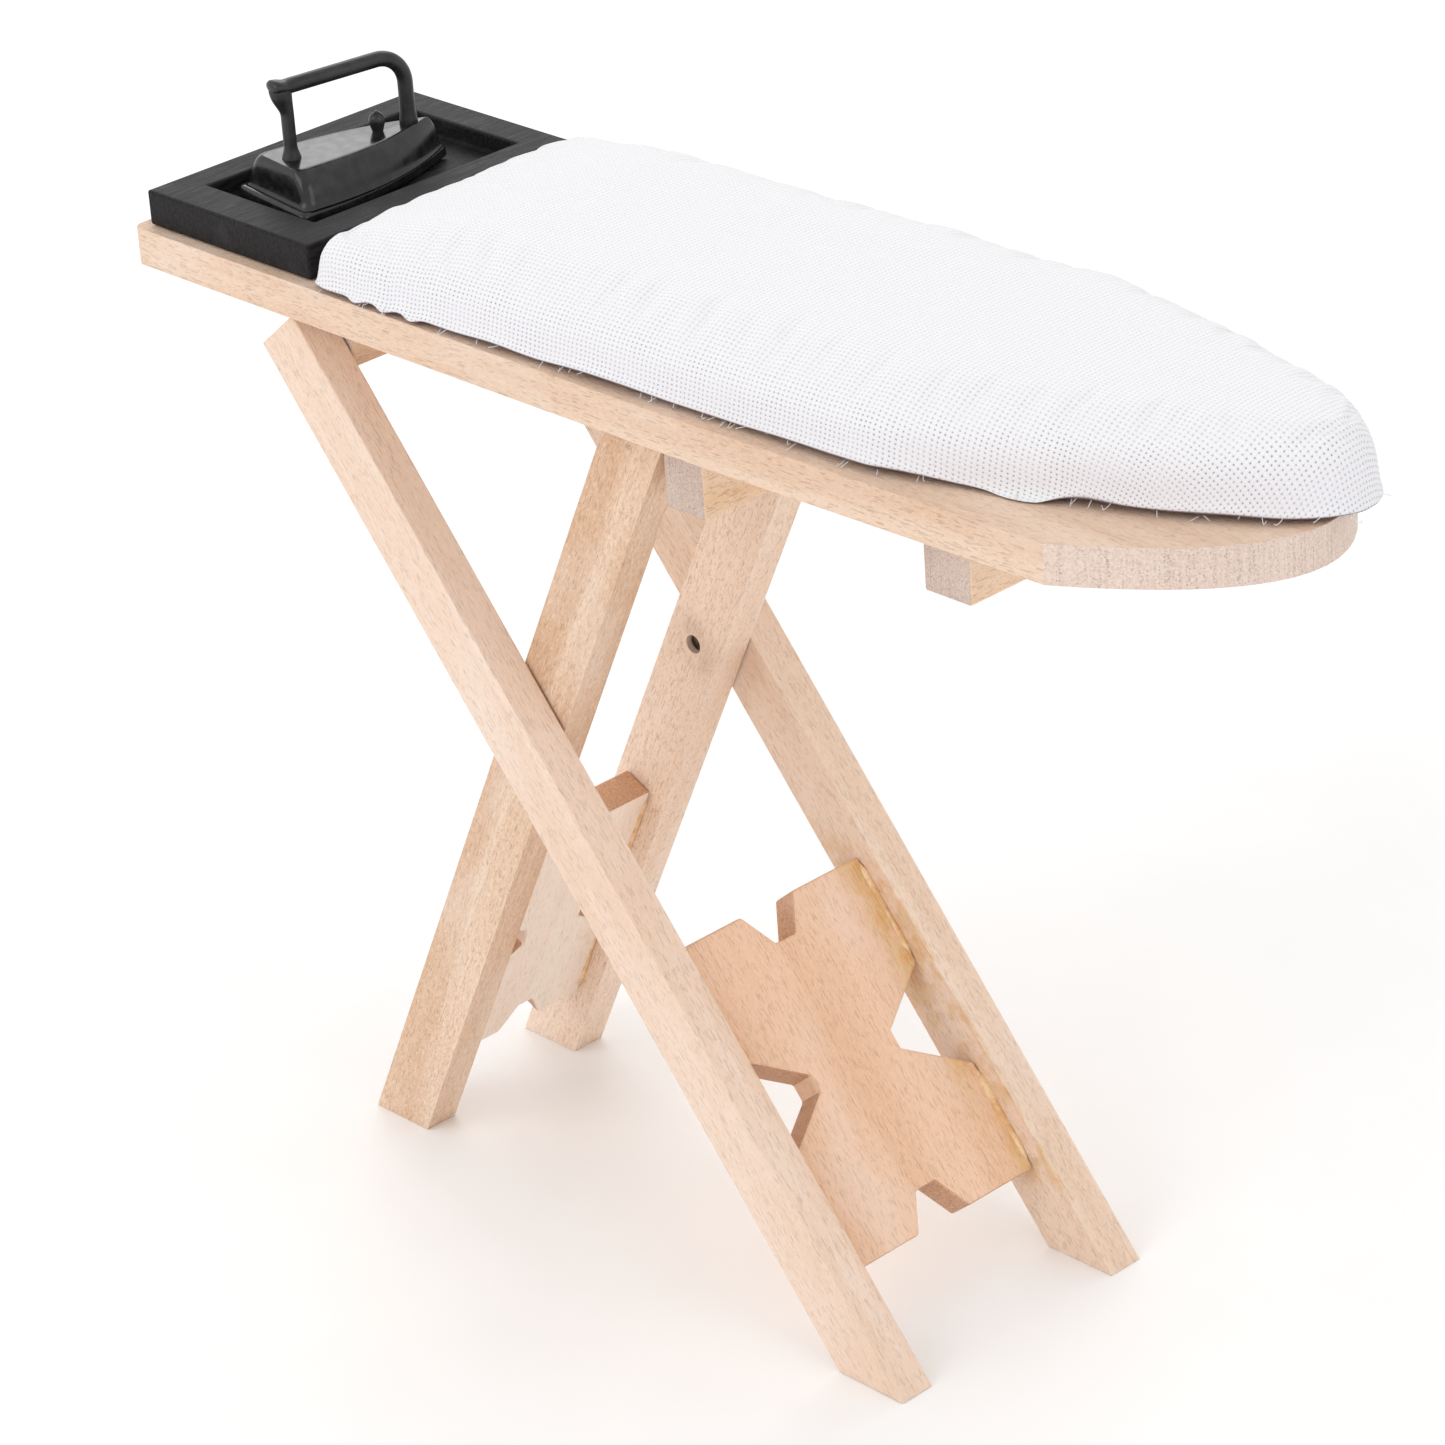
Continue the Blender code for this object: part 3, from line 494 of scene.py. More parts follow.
def plain_weave():
    """White open plain weave from the cloth's own UV map, in millimetres.

    In each cell one of the two threads lies on top, by turns. A thread's height over its width is
    sqrt(1 - (2.6 * across) ** 2), and it bows up by a cosine where it crosses over. The colour is
    darkened low between the threads as painted shade. Between threads there is a hole, painted dark
    as shade, darker on a slope than on the flat top. The sides get a faint lilac-grey painted
    shade, and the cloth turned under is painted dark as the shade beneath the hem.
    """
    finish = Finish("white_plain_weave")
    threads_per_mm = (1 / THREAD_PITCH_MM[0], 1 / THREAD_PITCH_MM[1], 1.0)
    uv = finish.stretched(finish.place("UV"), threads_per_mm)
    wander = finish.node(
        "ShaderNodeTexNoise", {"Vector": uv, "Scale": 0.35, "Detail": 2.0}, output=1
    )
    sway = finish.node(
        "ShaderNodeVectorMath", {0: wander, 1: (0.5, 0.5, 0.5)}, operation="SUBTRACT"
    )
    sway = finish.node("ShaderNodeVectorMath", {0: sway, "Scale": 0.55}, operation="SCALE")
    uv = finish.node("ShaderNodeVectorMath", {0: uv, 1: sway}, operation="ADD")
    u, v, _ = finish.split(uv)
    cell_u = finish.math("FLOOR", u)
    cell_v = finish.math("FLOOR", v)
    in_u = finish.math("SUBTRACT", finish.math("FRACT", u), 0.5)
    in_v = finish.math("SUBTRACT", finish.math("FRACT", v), 0.5)
    parity = finish.math("FLOORED_MODULO", finish.math("ADD", cell_u, cell_v), 2.0)
    swap = finish.math("SUBTRACT", finish.math("MULTIPLY", parity, 2.0), 1.0)
    heights = []
    for across, along, sign in ((in_v, in_u, 1.0), (in_u, in_v, -1.0)):
        wide = finish.math("MULTIPLY", across, 2.6)
        round_top = finish.math(
            "SQRT", finish.math("SUBTRACT", 1.0, finish.math("MULTIPLY", wide, wide), clamp=True)
        )
        bow = finish.math("COSINE", finish.math("MULTIPLY", along, math.pi))
        lift = finish.math("MULTIPLY", finish.math("MULTIPLY", swap, sign), bow)
        lift = finish.math("ADD", finish.math("MULTIPLY", lift, 0.28), 0.62)
        heights.append(finish.math("MULTIPLY", round_top, lift))
    height = finish.math("MAXIMUM", *heights)
    fuzz = finish.noise(finish.stretched(uv, (5.0, 5.0, 1.0)), 1.0, 3.0, 0.7)
    open_share = finish.ramp(height, 0.34, 0.10)
    facing_up = finish.split(finish.place("Normal"))[2]
    # Painted shade in the holes: stronger on slopes than on the flat top
    depth = finish.ramp(finish.math("ABSOLUTE", facing_up), 0.97, 0.45, 0.20, 0.85)
    colour = finish.mix(finish.ramp(fuzz, 0.3, 0.7), (0.82, 0.82, 0.84), (0.90, 0.90, 0.905))
    # Painted shade: the colour darkens low between the threads
    colour = finish.mix(finish.ramp(height, 0.75, 0.30, 0.0, 0.16), colour, (0.52, 0.50, 0.56))
    loose = finish.noise(uv, 0.12, 2.0, 0.5)
    open_share = finish.math("MULTIPLY", open_share, finish.ramp(loose, 0.35, 0.65, 0.55, 1.0))
    # The holes are painted dark as shade
    colour = finish.mix(finish.math("MULTIPLY", open_share, depth), colour, (0.20, 0.19, 0.22))
    # Painted shade: the sides, facing away from the top, are tinted lilac-grey
    colour = finish.mix(finish.ramp(facing_up, 0.80, 0.15, 0.0, 0.22), colour, (0.70, 0.64, 0.72))
    # Painted shade under the hem: faces turned down are painted dark
    colour = finish.mix(finish.ramp(facing_up, 0.05, -0.55), colour, (0.20, 0.15, 0.20))
    height = finish.math("ADD", height, finish.math("MULTIPLY", fuzz, 0.18))
    normal = finish.bump(height, 0.11 * MM, 0.5)
    return finish.finish(
        Base_Color=colour,
        Roughness=0.92,
        Normal=normal,
        Sheen_Weight=0.25,
        Sheen_Roughness=0.5,
        Specular_IOR_Level=0.2,
    )


def loose_thread():
    """White cotton thread, shaded unevenly by fine noise."""
    finish = Finish("white_cotton_thread")
    at = finish.place(scale=1 / MM)
    twist = finish.noise(at, 8.0, 2.0, 0.6)
    colour = finish.mix(finish.ramp(twist, 0.3, 0.7), (0.62, 0.61, 0.64), (0.84, 0.84, 0.86))
    return finish.finish(Base_Color=colour, Roughness=0.9, Normal=finish.bump(twist, 0.02 * MM))


# ---------------------------------------------------------------- pad


def pad_outline(count):
    """Points round the pad in its own plane, x from the tray and y across.

    The sides are straight, the rear corners are quarter ellipses, and the nose is
    x = length - nose * (y / half) ** 2. Returns points evenly spaced along the line, their outward
    directions and their places along the line.
    """
    corner = np.array(PAD_CORNER)
    across = np.linspace(0, 1, 400) * PAD_HALF
    nose = np.stack([PAD_LENGTH - PAD_NOSE * (across / PAD_HALF) ** 2, across], axis=1)
    angle = np.linspace(np.pi / 2, np.pi, 60)
    quarter = corner * np.stack([1 + np.cos(angle), np.sin(angle)], axis=1)
    rear = [0, PAD_HALF - corner[1]] + quarter
    half = np.concatenate([nose, rear, [[0, 0]]])
    half[:, 0] += PAD_GAP
    line = np.concatenate([half, half[-2:0:-1] * [1, -1], half[:1]])
    run = np.concatenate([[0], np.cumsum(np.linalg.norm(np.diff(line, axis=0), axis=1))])
    at = np.linspace(0, run[-1], count, endpoint=False)
    points = np.stack([np.interp(at, run, line[:, k]) for k in (0, 1)], axis=1)
    ahead = np.roll(points, -2, axis=0) - np.roll(points, 2, axis=0)
    outward = np.stack([ahead[:, 1], -ahead[:, 0]], axis=1)
    outward /= np.linalg.norm(outward, axis=1)[:, None]
    return points, outward, at


def ripple(at, seed):
    """A smooth uneven line, mostly from -1 to 1: a sum of nine waves along at, 4 to 40 mm long."""
    random = np.random.default_rng(seed)
    count = 9
    lengths = random.uniform(4, 40, count) * MM
    phase = random.uniform(0, 2 * np.pi, count)
    waves = np.sin(at[:, None] / lengths * 2 * np.pi + phase) * np.sqrt(lengths / (40 * MM))
    return waves.sum(axis=1) / np.sqrt(count)


def pad_surface(around, inward):
    """Points (rows, around, 3), UV in millimetres, and how free each point is to move.

    Rows run from the middle line of the top out to the rim, over the lip and under to the middle of
    the underside. Height over the board at distance d inside the rim is
    lip + (crown - lip) * dome + 0.35 mm * middle * dome, with
    dome = sqrt(1 - (1 - d / shoulder) ** 2.5) and middle = 1 - (y / half) ** 2. The crown falls to
    a lower one at the tray, the shoulder is tighter there and at the nose, and the lip rises and
    falls along the hem, with a hanging fold, a lifted stretch beside it and three small bunches.
    """
    rim, outward, at = pad_outline(around)
    spine_ends = (7 * MM, rim[:, 0].max() - 17 * MM)
    spine = np.stack([np.clip(rim[:, 0], *spine_ends), np.zeros(around)], axis=1)
    rear = smooth_step(-outward[:, 0], 0.5, 0.95)
    nose = smooth_step(rim[:, 0], rim[:, 0].max() - 32 * MM, rim[:, 0].max())
    uneven = ripple(at, 3)
    share = np.linspace(0, 1, inward) ** 0.75
    flat = spine[None] + (rim - spine)[None] * share[:, None, None]
    depth = np.linalg.norm(rim - spine, axis=1)[None] * (1 - share[:, None])
    by_tray = np.maximum(rear, 1 - smooth_step(rim[:, 0], 0.5 * MM, 9 * MM))
    shoulder = (5.4 - 1.7 * nose - 3.0 * by_tray) * MM
    fall = np.clip(1 - depth / shoulder[None], 0, 1)
    crown = PAD_REAR_HEIGHT + (PAD_CROWN - PAD_REAR_HEIGHT) * smooth_step(
        flat[..., 0], -6 * MM, 15 * MM
    )
    lip = (0.95 + 0.42 * uneven) * MM
    near = rim[:, 1] < 0
    fold = np.exp(-(((rim[:, 0] - FOLD_X) / (2.0 * MM)) ** 2)) * near
    bunches = sum(np.exp(-(((rim[:, 0] - x) / (0.7 * MM)) ** 2)) for x in BUNCHES_X)
    lifted = np.exp(-(((rim[:, 0] - LIFTED_HEM_X) / (1.9 * MM)) ** 2)) * near
    lip = lip + (0.5 * lifted - 1.1 * fold - 0.5 * bunches * near) * MM
    lip = np.clip(lip, 0.22 * MM, None)
    lip *= 1 - 0.5 * rear
    dome = np.sqrt(np.clip(1 - fall**2.5, 0, 1))
    middle = 1 - np.clip(np.abs(flat[..., 1]) / PAD_HALF, 0, 1) ** 2
    height = lip[None] + (crown - lip[None]) * dome + 0.35 * MM * middle * dome
    top = np.concatenate([flat, height[..., None]], axis=-1)

    # The turned-under cloth: how far out of the rim in millimetres, and its share of the lip's drop
    reach = np.array([0.28, 0.22, -0.15, -0.7, -1.3, -1.6, -2.4, -4.0])
    drop = np.array([-0.25, -0.5, -0.62, -0.55, -0.5, -0.95, -0.95, -0.95])
    swell = 1 + 0.5 * uneven + (2.0 * fold + 1.3 * bunches) * near
    under_flat = rim[None] + outward[None] * (reach[:, None] * MM * swell[None])[..., None]
    under_z = lip[None] + drop[:, None] * lip[None]
    under = np.concatenate([under_flat, under_z[..., None]], axis=-1)
    last = np.concatenate([spine, np.full((around, 1), PAD_SEAT)], axis=1)[None]
    rows = np.concatenate([top, under, last])
    rows[..., 2] = np.maximum(rows[..., 2], PAD_SEAT)

    step = np.linalg.norm(np.diff(rows, axis=0), axis=-1)
    run = np.concatenate([np.zeros((1, around)), np.cumsum(step, axis=0)])
    direction = rim - spine
    direction /= np.linalg.norm(direction, axis=1)[:, None]
    uv = spine[None] + direction[None] * run[..., None]
    free = np.zeros(rows.shape[:2])
    free[: inward - 1] = smooth_step(depth[:-1], 0.0, 2.2 * MM)
    return rows, uv / MM, free


def on_board(rows):
    """Turn points of the pad's own plane and put them on the board, in front of the tray."""
    turn = np.array(Matrix.Rotation(PAD_TURN, 3, "Z"))
    start_x = TRAY_HIGH.x + PAD_HALF * math.sin(PAD_TURN)
    start = np.array([start_x, (BOARD_LOW.y + BOARD_HIGH.y) / 2, BOARD_TOP])
    return rows @ turn.T + start


def puff_up(obj, free, cap):
    """Swell the pad by cloth simulation, at a larger size, and keep moves under cap.

    Points that aren't free are pinned. A move of length m is kept as cap * tanh(m / cap).
    """
    rest = np.empty(len(obj.data.vertices) * 3, np.float32)
    obj.data.vertices.foreach_get("co", rest)
    rest = rest.reshape(-1, 3)
    trial = obj.copy()
    trial.data = obj.data.copy()
    trial.name = "pad_trial"
    bpy.context.scene.collection.objects.link(trial)
    trial.data.vertices.foreach_set("co", (rest * CLOTH_SCALE).ravel())
    pins = trial.vertex_groups.new(name="pins")
    for level in range(PIN_LEVELS + 1):
        members = np.flatnonzero(np.round((1 - free) * PIN_LEVELS) == level)
        pins.add(members.tolist(), level / PIN_LEVELS, "REPLACE")
    cloth = trial.modifiers.new("cloth", "CLOTH")
    settings = cloth.settings
    settings.vertex_group_mass = "pins"
    settings.quality = 5
    settings.mass = 0.2
    settings.tension_stiffness = 25
    settings.compression_stiffness = 12
    settings.bending_stiffness = 0.4
    settings.use_pressure = True
    settings.uniform_pressure_force = 4.0
    settings.effector_weights.gravity = 0
    settings.shrink_min = -0.035
    cloth.collision_settings.use_collision = False
    cloth.point_cache.frame_start = 1
    cloth.point_cache.frame_end = CLOTH_FRAMES
    for step in range(1, CLOTH_FRAMES + 1):
        bpy.context.scene.frame_set(step)
    graph = bpy.context.evaluated_depsgraph_get()
    swollen = np.empty(len(rest) * 3, np.float32)
    trial.evaluated_get(graph).data.vertices.foreach_get("co", swollen)
    bpy.data.objects.remove(trial, do_unlink=True)
    bpy.context.scene.frame_set(1)
    move = swollen.reshape(-1, 3) / CLOTH_SCALE - rest
    length = np.linalg.norm(move, axis=1)[:, None] + 1e-12
    move *= cap * np.tanh(length / cap) / length
    obj.data.vertices.foreach_set("co", (rest + move).astype(np.float32).ravel())
    obj.data.update()


def make_pad_cover():
    """The padded cloth: pad_surface put on the board, swollen by simulation and smoothed once."""
    rows, uv, free = pad_surface(PAD_COLUMNS, PAD_TOP_ROWS)
    points = on_board(rows.reshape(-1, 3))
    faces = grid_faces(len(rows), PAD_COLUMNS)
    pad = mesh_piece("padded_cover", points, faces, uv.reshape(-1, 2))
    keys = np.round(points / MERGE_DISTANCE).astype(np.int64)
    _, first = np.unique(keys, axis=0, return_index=True)
    puff_up(pad, free.reshape(-1)[first], CLOTH_MOST_MOVE)
    finer = pad.modifiers.new("finer", "SUBSURF")
    finer.levels = 1
    finer.render_levels = 1
    pad.data.materials.append(plain_weave())
    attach(pad, "board")
    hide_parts("pad_cover", "pad_core")


def make_loose_threads():
    """Frayed ends along the hem: short hairs that leave the lip along a sine and curl down."""
    random = np.random.default_rng(11)
    rim, outward, _ = pad_outline(600)
    near = np.flatnonzero((rim[:, 1] < 4 * MM) & (outward[:, 0] > -0.5))
    points, faces, made = [], [], 0
    for start in random.choice(near, 46, replace=False):
        t = np.linspace(0, 1, 9)
        length = random.uniform(0.5, 1.6) * MM
        sideways = np.array([-outward[start, 1], outward[start, 0]]) * random.uniform(-1, 1)
        curl = random.uniform(0.5, 3.5)
        flat = rim[start] + outward[start] * (0.1 * MM + 0.45 * length * np.sin(curl * t))[:, None]
        flat = flat + sideways * (length * 0.6 * t)[:, None]
        z = 0.45 * MM - 0.35 * MM * np.sin(curl * t * 0.8) + random.uniform(-0.1, 0.25) * MM
        path = on_board(np.column_stack([flat, np.maximum(z, 0.05 * MM)]))
        ring, quads = tube(path, (0, 0, 1), 0.028 * MM, 0.028 * MM, 5)
        points.append(ring)
        faces.append(quads + made)
        made += len(ring)
    hairs = mesh_piece("frayed_threads", np.concatenate(points), np.concatenate(faces))
    hairs.data.materials.append(loose_thread())
    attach(hairs, "board")


# ---------------------------------------------------------------- iron


def on_tray(points):
    """Turn points drawn from the iron's heel, y towards its toe, and stand them in the tray."""
    turn = np.array(Matrix.Rotation(IRON_TURN, 3, "Z"))
    heel_x = (SOLE_LOW.x + SOLE_HIGH.x) / 2 - IRON_LENGTH / 2 * math.sin(-IRON_TURN)
    heel_y = SOLE_LOW.y + IRON_WIDTH / 2 * math.sin(-IRON_TURN)
    return points @ turn.T + np.array([heel_x, heel_y, SOLE_LOW.z])


def boat(count, length, half, fullness, corner):
    """An outline from the heel round the toe: x = half * (1 - t ** fullness), y = length * t.

    The heel is straight, and its two corners are rounded by corner. Evenly spaced points.
    """
    t = np.linspace(0, 1, 300) ** 0.6
    side = np.stack([half * (1 - t**fullness), length * t], axis=1)
    side = side[side[:, 1] > corner]
    angle = np.linspace(-np.pi / 2, 0, 12)
    heel = np.stack([half - corner + corner * np.cos(angle), corner + corner * np.sin(angle)], 1)
    half_line = np.concatenate([[[0, 0]], heel, side])
    line = np.concatenate([half_line, half_line[-2::-1] * [-1, 1]])
    run = np.concatenate([[0], np.cumsum(np.linalg.norm(np.diff(line, axis=0), axis=1))])
    at = np.linspace(0, run[-1], count, endpoint=False)
    return np.stack([np.interp(at, run, line[:, k]) for k in (0, 1)], axis=1)


def stacked(outlines, levels, middle):
    """Closed surface through outlines at levels, closed at the bottom and the top at middle."""
    count = len(outlines[0])
    rows = [np.column_stack([o, np.full(count, z)]) for o, z in zip(outlines, levels)]
    first = np.tile([*middle, levels[0]], (count, 1))
    last = np.tile([*middle, levels[-1]], (count, 1))
    rows = np.array([first, *rows, last])
    return rows.reshape(-1, 3), grid_faces(len(rows), count)


def make_iron_sole():
    """A thin plate: the boat outline at seven levels, moved in at the top and bottom edges."""
    insets = np.array([0.5, 0.18, 0.02, 0.0, 0.04, 0.2, 0.55]) * MM
    levels = np.array([0.02, 0.02, 0.12, 0.35, 0.72, 0.88, 0.92]) * MM
    outlines = []
    for inset in insets:
        shape = boat(160, IRON_LENGTH - 2 * inset, IRON_WIDTH / 2 - inset, 2.2, 0.5 * MM)
        outlines.append(shape + [0, inset])
    points, faces = stacked(outlines, levels, (0, IRON_LENGTH * 0.35))
    sole = mesh_piece("iron_sole_plate", on_tray(points), faces)
    sole.data.materials.append(black_enamel("sole_black_enamel", 0.16))
    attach(sole, "iron")
    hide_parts("iron_sole")


def make_iron_hood():
    """The cast body: a flat top, rounded shoulders, and a flare out to the plate at its foot.

    At height share h the outline moves in by shoulder * (1 - sqrt(1 - h ** 1.7)) over a hollow
    flare that fades as exp(-h / 0.09). The heel stands nearly upright and the toe leans back.
    """
    share = np.concatenate([np.linspace(0, 0.3, 9), np.linspace(0.34, 0.9, 12)])
    share = np.concatenate([share, 0.9 + 0.1 * np.sin(np.linspace(0.15, np.pi / 2, 10))])
    outlines, levels = [], []
    for h in share:
        shoulder = 1 - math.sqrt(max(0.0, 1 - h**1.7))
        flare = 1 - math.exp(-h / 0.09)
        inset = (0.12 + 0.38 * flare + 1.75 * shoulder) * MM
        heel = (0.45 + 0.30 * flare + 0.40 * shoulder) * MM
        toe = (0.15 + 0.40 * flare + 1.1 * shoulder) * MM
        shape = boat(220, IRON_LENGTH - heel - toe, IRON_WIDTH / 2 - inset, 2.6, 0.8 * MM)
        outlines.append(shape + [0, heel])
        levels.append(SOLE_THICKNESS + HOOD_HEIGHT * h)
    points, faces = stacked(outlines, levels, (0, IRON_LENGTH * 0.3))
    hood = mesh_piece("iron_body", on_tray(points), faces)
    hood.data.materials.append(black_enamel("body_black_enamel", 0.17))
    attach(hood, "iron")
    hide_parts("iron_hood")


def make_iron_handle():
    """Two tubes: a bar bent by a quarter circle into its rear post, and a front post.

    The bar swells and rises into a flared horn over the heel. The post spreads at both ends.
    """
    foot = SOLE_THICKNESS + HOOD_HEIGHT - 0.3 * MM
    centre_y, centre_z = REAR_POST_Y - HANDLE_BEND, BAR_HEIGHT - HANDLE_BEND
    angle = np.linspace(0, np.pi / 2, 14)
    curve = np.stack([np.cos(angle), np.sin(angle)], axis=1) * HANDLE_BEND + [centre_y, centre_z]
    post = np.stack([np.full(6, REAR_POST_Y), np.linspace(foot, centre_z, 6)], axis=1)
    bar_y = np.linspace(centre_y, FRONT_POST_Y - 0.95 * MM, 30)
    bar_z = BAR_HEIGHT + 0.25 * MM * smooth_step(-bar_y, -FRONT_POST_Y, 0.9 * MM - FRONT_POST_Y)
    line = np.concatenate([post[:-1], curve, np.stack([bar_y, bar_z], axis=1)[1:]])
    path = np.column_stack([np.zeros(len(line)), line])
    run = np.concatenate([[0], np.cumsum(np.linalg.norm(np.diff(path, axis=0), axis=1))])
    flare = smooth_step(run, run[-1] - 1.6 * MM, run[-1])
    thick = (0.60 + 0.14 * smooth_step(-run, -1.6 * MM, 0)) * MM
    widths = thick + 0.26 * MM * flare
    heights = thick - 0.10 * MM * flare
    points, faces = tube(path, (1, 0, 0), widths, heights, 28)
    z = np.linspace(foot, BAR_HEIGHT - 0.05 * MM, 30)
    rise = (z - z[0]) / (z[-1] - z[0])
    low = 1 - smooth_step(rise, 0.0, 0.22)
    high = smooth_step(rise, 0.62, 1.0)
    front = np.column_stack([np.zeros(30), FRONT_POST_Y - 0.40 * MM * high, z])
    widths = (0.54 + 0.18 * low + 0.16 * high) * MM
    heights = (0.50 + 0.30 * low + 0.42 * high) * MM
    more, more_faces = tube(front, (1, 0, 0), widths, heights, 28)
    faces = np.concatenate([faces, more_faces + len(points)])
    handle = mesh_piece("iron_bent_handle", on_tray(np.concatenate([points, more])), faces)
    handle.data.materials.append(black_enamel("handle_black_enamel", 0.34))
    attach(handle, "iron")
    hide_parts("iron_handle")


def make_iron_knob():
    """An oval stub that widens upwards and closes as a quarter ellipse over its top third."""
    t = np.linspace(0, 1, 26)
    radius = (0.40 + 0.22 * smooth_step(t, 0.0, 0.6)) * MM
    radius *= np.sqrt(np.clip(1 - np.clip((t - 0.62) / 0.38, 0, 1) ** 2 * 0.92, 0, 1))
    z = SOLE_THICKNESS + HOOD_HEIGHT + 1.7 * MM * t - 0.15 * MM
    path = np.column_stack([np.zeros(26), np.full(26, KNOB_Y), z])
    points, faces = tube(path, (1, 0, 0), radius, radius, 26)
    knob = mesh_piece("iron_stub_knob", on_tray(points), faces)
    knob.data.materials.append(black_enamel("knob_black_enamel", 0.25))
    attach(knob, "iron")
    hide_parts("iron_knob")


# ---------------------------------------------------------------- wood and metal of the frame


def dress(node, material):
    """Give a CAD piece its finish."""
    mesh = NODES[node].data
    mesh.materials.clear()
    mesh.materials.append(material)


def dress_frame():
    """Finishes of the wooden pieces, the tray and the nails."""
    along_x = (0, 0, 0)
    along_y = (0, 0, -math.pi / 2)
    outer = (0, OUTER_LEAN, 0)
    inner = (0, INNER_LEAN, 0)
    dress("board", bare_beech("board_beech", along_x, BOARD_TONES, 0.22, seed=1.0))
    dress("hinge_rail", bare_beech("rail_beech", along_y, INNER_TONES, 0.3, seed=4.0))
    for node, seed in (("stop_batten_fold", 7.0), ("stop_batten_nose", 12.0)):
        beech = bare_beech(
            node + "_beech", along_y, BATTEN_TONES, 0.3, GREY_END, glue_on_batten, seed=seed
        )
        dress(node, beech)
    dress("outer_leg_near", bare_beech("outer_near_beech", outer, LEG_TONES, 0.15, seed=21.0))
    far = bare_beech("outer_far_beech", outer, FAR_LEG_TONES, 0.25, glue=glue_on_leg, seed=33.0)
    dress("outer_leg_far", far)
    panel = bare_beech(
        "outer_panel_beech", outer, PANEL_TONES, 0.15, PANEL_END, glue_along_panel, seed=41.0
    )
    dress("outer_panel", panel)
    for node, tones, rays, seed in (
        ("inner_leg_near", INNER_TONES, 0.45, 52.0),
        ("inner_leg_far", INNER_FAR_TONES, 0.38, 63.0),
    ):
        # The inner legs get painted brown shade round the crossing
        beech = bare_beech(node + "_beech", inner, tones, rays, painted_shade=shade_round_pivot, seed=seed)
        dress(node, beech)
    # The inner panel's paler tones are painted light, standing in for light on a shaded panel
    panel = bare_beech("inner_panel_beech", inner, INNER_PANEL_PAINTED_LIGHT_TONES, 0.1, PANEL_END, seed=71.0)
    dress("inner_panel", panel)
    dress("iron_tray", painted_tray())
    steel = dull_steel()
    for node in ("hinge_pin_near", "hinge_pin_far", "pivot_pin_near", "pivot_pin_far"):
        dress(node, steel)


def glue_bead(name, node, body, lean, half_length, seed):
    """Set glue in the corner between a panel and its legs: a thin tube of uneven radius.

    It runs down the panel at each long edge, over the glued stretches on either side of the middle.
    """
    random = np.random.default_rng(seed)
    low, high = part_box(node)
    middle = (low + high) / 2
    down = np.array([math.cos(lean), 0, -math.sin(lean)])
    nose_side = np.array([math.sin(lean), 0, math.cos(lean)])
    points, faces, made = [], [], 0
    for y, inward in ((low.y, 1), (high.y, -1)):
        for start, end in GLUED_STRETCHES:
            t = np.linspace(start, end, 70) * half_length
            wave = ripple(t - t[0], random.integers(1000))
            radius = (0.26 + 0.12 * wave) * MM
            radius *= smooth_step(np.minimum(t - t[0], t[-1] - t), -0.2 * MM, 1.2 * MM)
            face = [middle.x, y, middle.z] + nose_side * (PANEL_HALF_THICKNESS - 0.05 * MM)
            path = face + down * t[:, None] + np.array([0, inward * 0.10 * MM, 0])
            ring, quads = tube(path, (0, 1, 0), radius * 1.2, np.abs(radius) * 0.8, 12)
            points.append(ring)
            faces.append(quads + made)
            made += len(ring)
    bead = mesh_piece(name, np.concatenate(points), np.concatenate(faces))
    bead.data.materials.append(set_glue())
    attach(bead, body)


def set_glue():
    """Dried wood glue: clear amber, cloudy in places, with a wrinkled gloss skin."""
    finish = Finish("set_amber_glue")
    at = finish.place(scale=1 / MM)
    cloud = finish.noise(at, 0.8, 3.0, 0.6)
    wrinkle = finish.noise(at, 3.0, 3.0, 0.6)
    colour = finish.mix(finish.ramp(cloud, 0.35, 0.65), (0.70, 0.40, 0.16), (0.88, 0.66, 0.42))
    rough = finish.ramp(wrinkle, 0.3, 0.7, 0.22, 0.42)
    normal = finish.bump(wrinkle, 0.08 * MM, 0.5)
    return finish.finish(Base_Color=colour, Roughness=rough, Normal=normal)


# ---------------------------------------------------------------- stage


def make_camera():
    """A long lens from the near side of the nose, turned 4 degrees about its own axis."""
    azimuth, elevation, roll = (math.radians(a) for a in CAMERA_DEGREES)
    back = Vector(
        (
            math.sin(azimuth) * math.cos(elevation),
            -math.cos(azimuth) * math.cos(elevation),
            math.sin(elevation),
        )
    )
    right = Vector((math.cos(azimuth), math.sin(azimuth), 0))
    up = back.cross(right)
    turned_right = right * math.cos(roll) + up * math.sin(roll)
    turned_up = up * math.cos(roll) - right * math.sin(roll)
    data = bpy.data.cameras.new("camera")
    data.sensor_width = 36
    data.lens = CAMERA_LENS
    data.clip_start = 0.01
    data.clip_end = 20
    camera = bpy.data.objects.new("camera", data)
    bpy.context.scene.collection.objects.link(camera)
    axes = Matrix((turned_right, turned_up, back)).transposed()
    place = REAR_FLOOR_POINT + Vector(CAMERA_PLACE_MM) * MM
    camera.matrix_world = Matrix.Translation(place) @ axes.to_4x4()
    bpy.context.scene.camera = camera


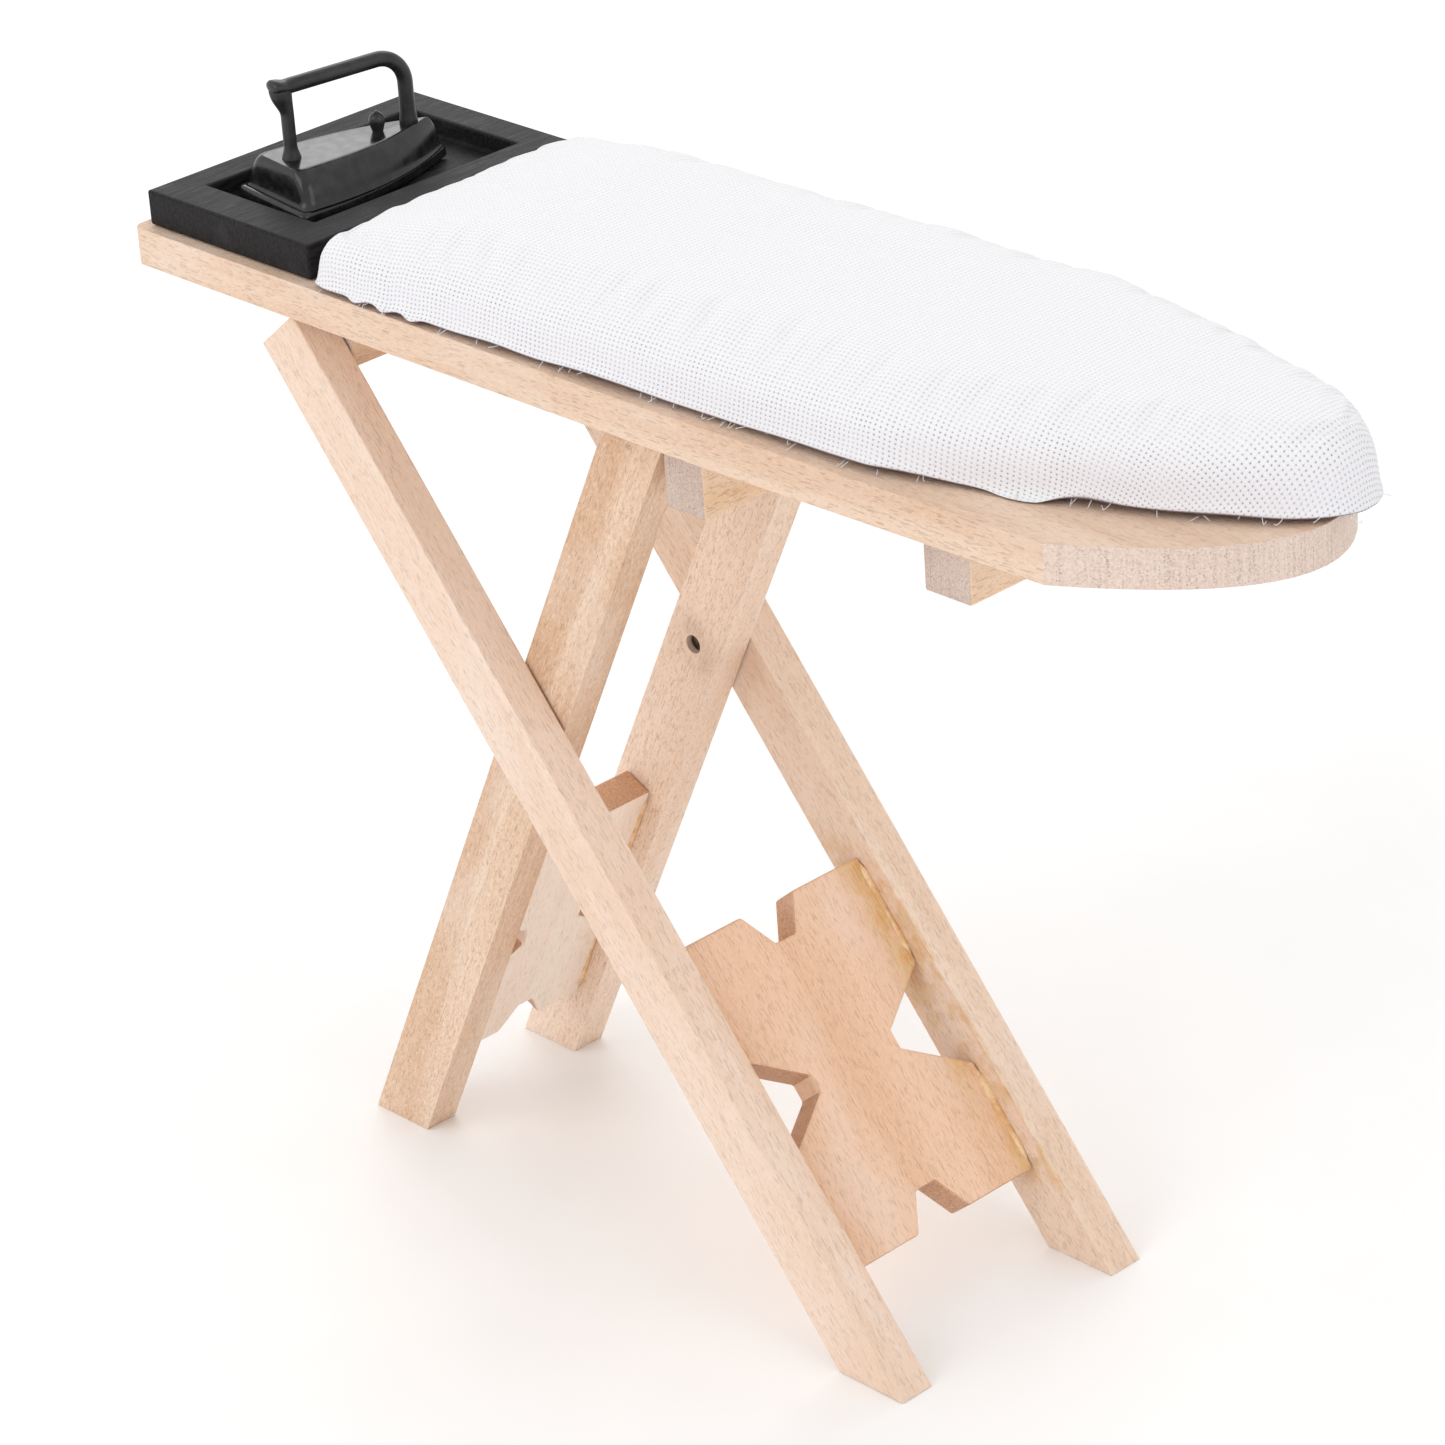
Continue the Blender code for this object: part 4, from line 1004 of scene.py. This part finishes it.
def softbox(name, place, target, size, power):
    """A white rectangular light at place, facing target."""
    data = bpy.data.lights.new(name, "AREA")
    data.shape = "RECTANGLE"
    data.size = size[0]
    data.size_y = size[1]
    data.energy = power
    light = bpy.data.objects.new(name, data)
    bpy.context.scene.collection.objects.link(light)
    light.location = place
    light.rotation_mode = "QUATERNION"
    light.rotation_quaternion = (Vector(place) - Vector(target)).to_track_quat("Z", "Y")


def make_stage():
    """Pale floor, white surroundings and three large softboxes."""
    finish = Finish("pale_floor")
    at = finish.place(scale=1.0)
    mottle = finish.noise(at, 40.0, 3.0, 0.6)
    colour = finish.mix(finish.ramp(mottle, 0.3, 0.7), (0.93, 0.93, 0.93), (0.95, 0.95, 0.95))
    finish.finish(Base_Color=colour, Roughness=0.95, Specular_IOR_Level=0.1)
    corners = np.array([[-1, -1, 0], [1, -1, 0], [1, 1, 0], [-1, 1, 0]]) * FLOOR_HALF
    mesh = bpy.data.meshes.new("floor")
    mesh.from_pydata((corners - [0, 0, FLOOR_DROP]).tolist(), [], [[0, 1, 2, 3]])
    floor = bpy.data.objects.new("floor", mesh)
    floor.data.materials.append(finish.material)
    bpy.context.scene.collection.objects.link(floor)

    world = bpy.data.worlds.new("studio")
    world.use_nodes = True
    world.node_tree.nodes["Background"].inputs["Color"].default_value = (1, 1, 1, 1)
    world.node_tree.nodes["Background"].inputs["Strength"].default_value = WORLD_STRENGTH
    bpy.context.scene.world = world
    middle = (0, 0, 0.05)
    softbox("key_softbox", (-0.15, -0.55, 0.42), middle, (0.5, 0.4), 1.05)
    softbox("nose_softbox", (0.7, 0.05, 0.35), middle, (0.4, 0.4), 0.6)
    softbox("back_softbox", (-0.45, 0.40, 0.42), middle, (0.5, 0.35), 1.1)
    bpy.context.scene.view_settings.view_transform = "Standard"


make_camera()
make_stage()
dress_frame()
make_pad_cover()
make_loose_threads()
make_iron_sole()
make_iron_hood()
make_iron_handle()
make_iron_knob()
outer_down = math.radians(OUTER_ANGLE)
inner_down = math.radians(180 - INNER_ANGLE)
glue_bead(
    "glue_on_outer_panel", "outer_panel", "outer_legs", outer_down, OUTER_PANEL_HALF_LENGTH, 5
)
glue_bead(
    "glue_on_inner_panel", "inner_panel", "inner_legs", inner_down, INNER_PANEL_HALF_LENGTH, 8
)
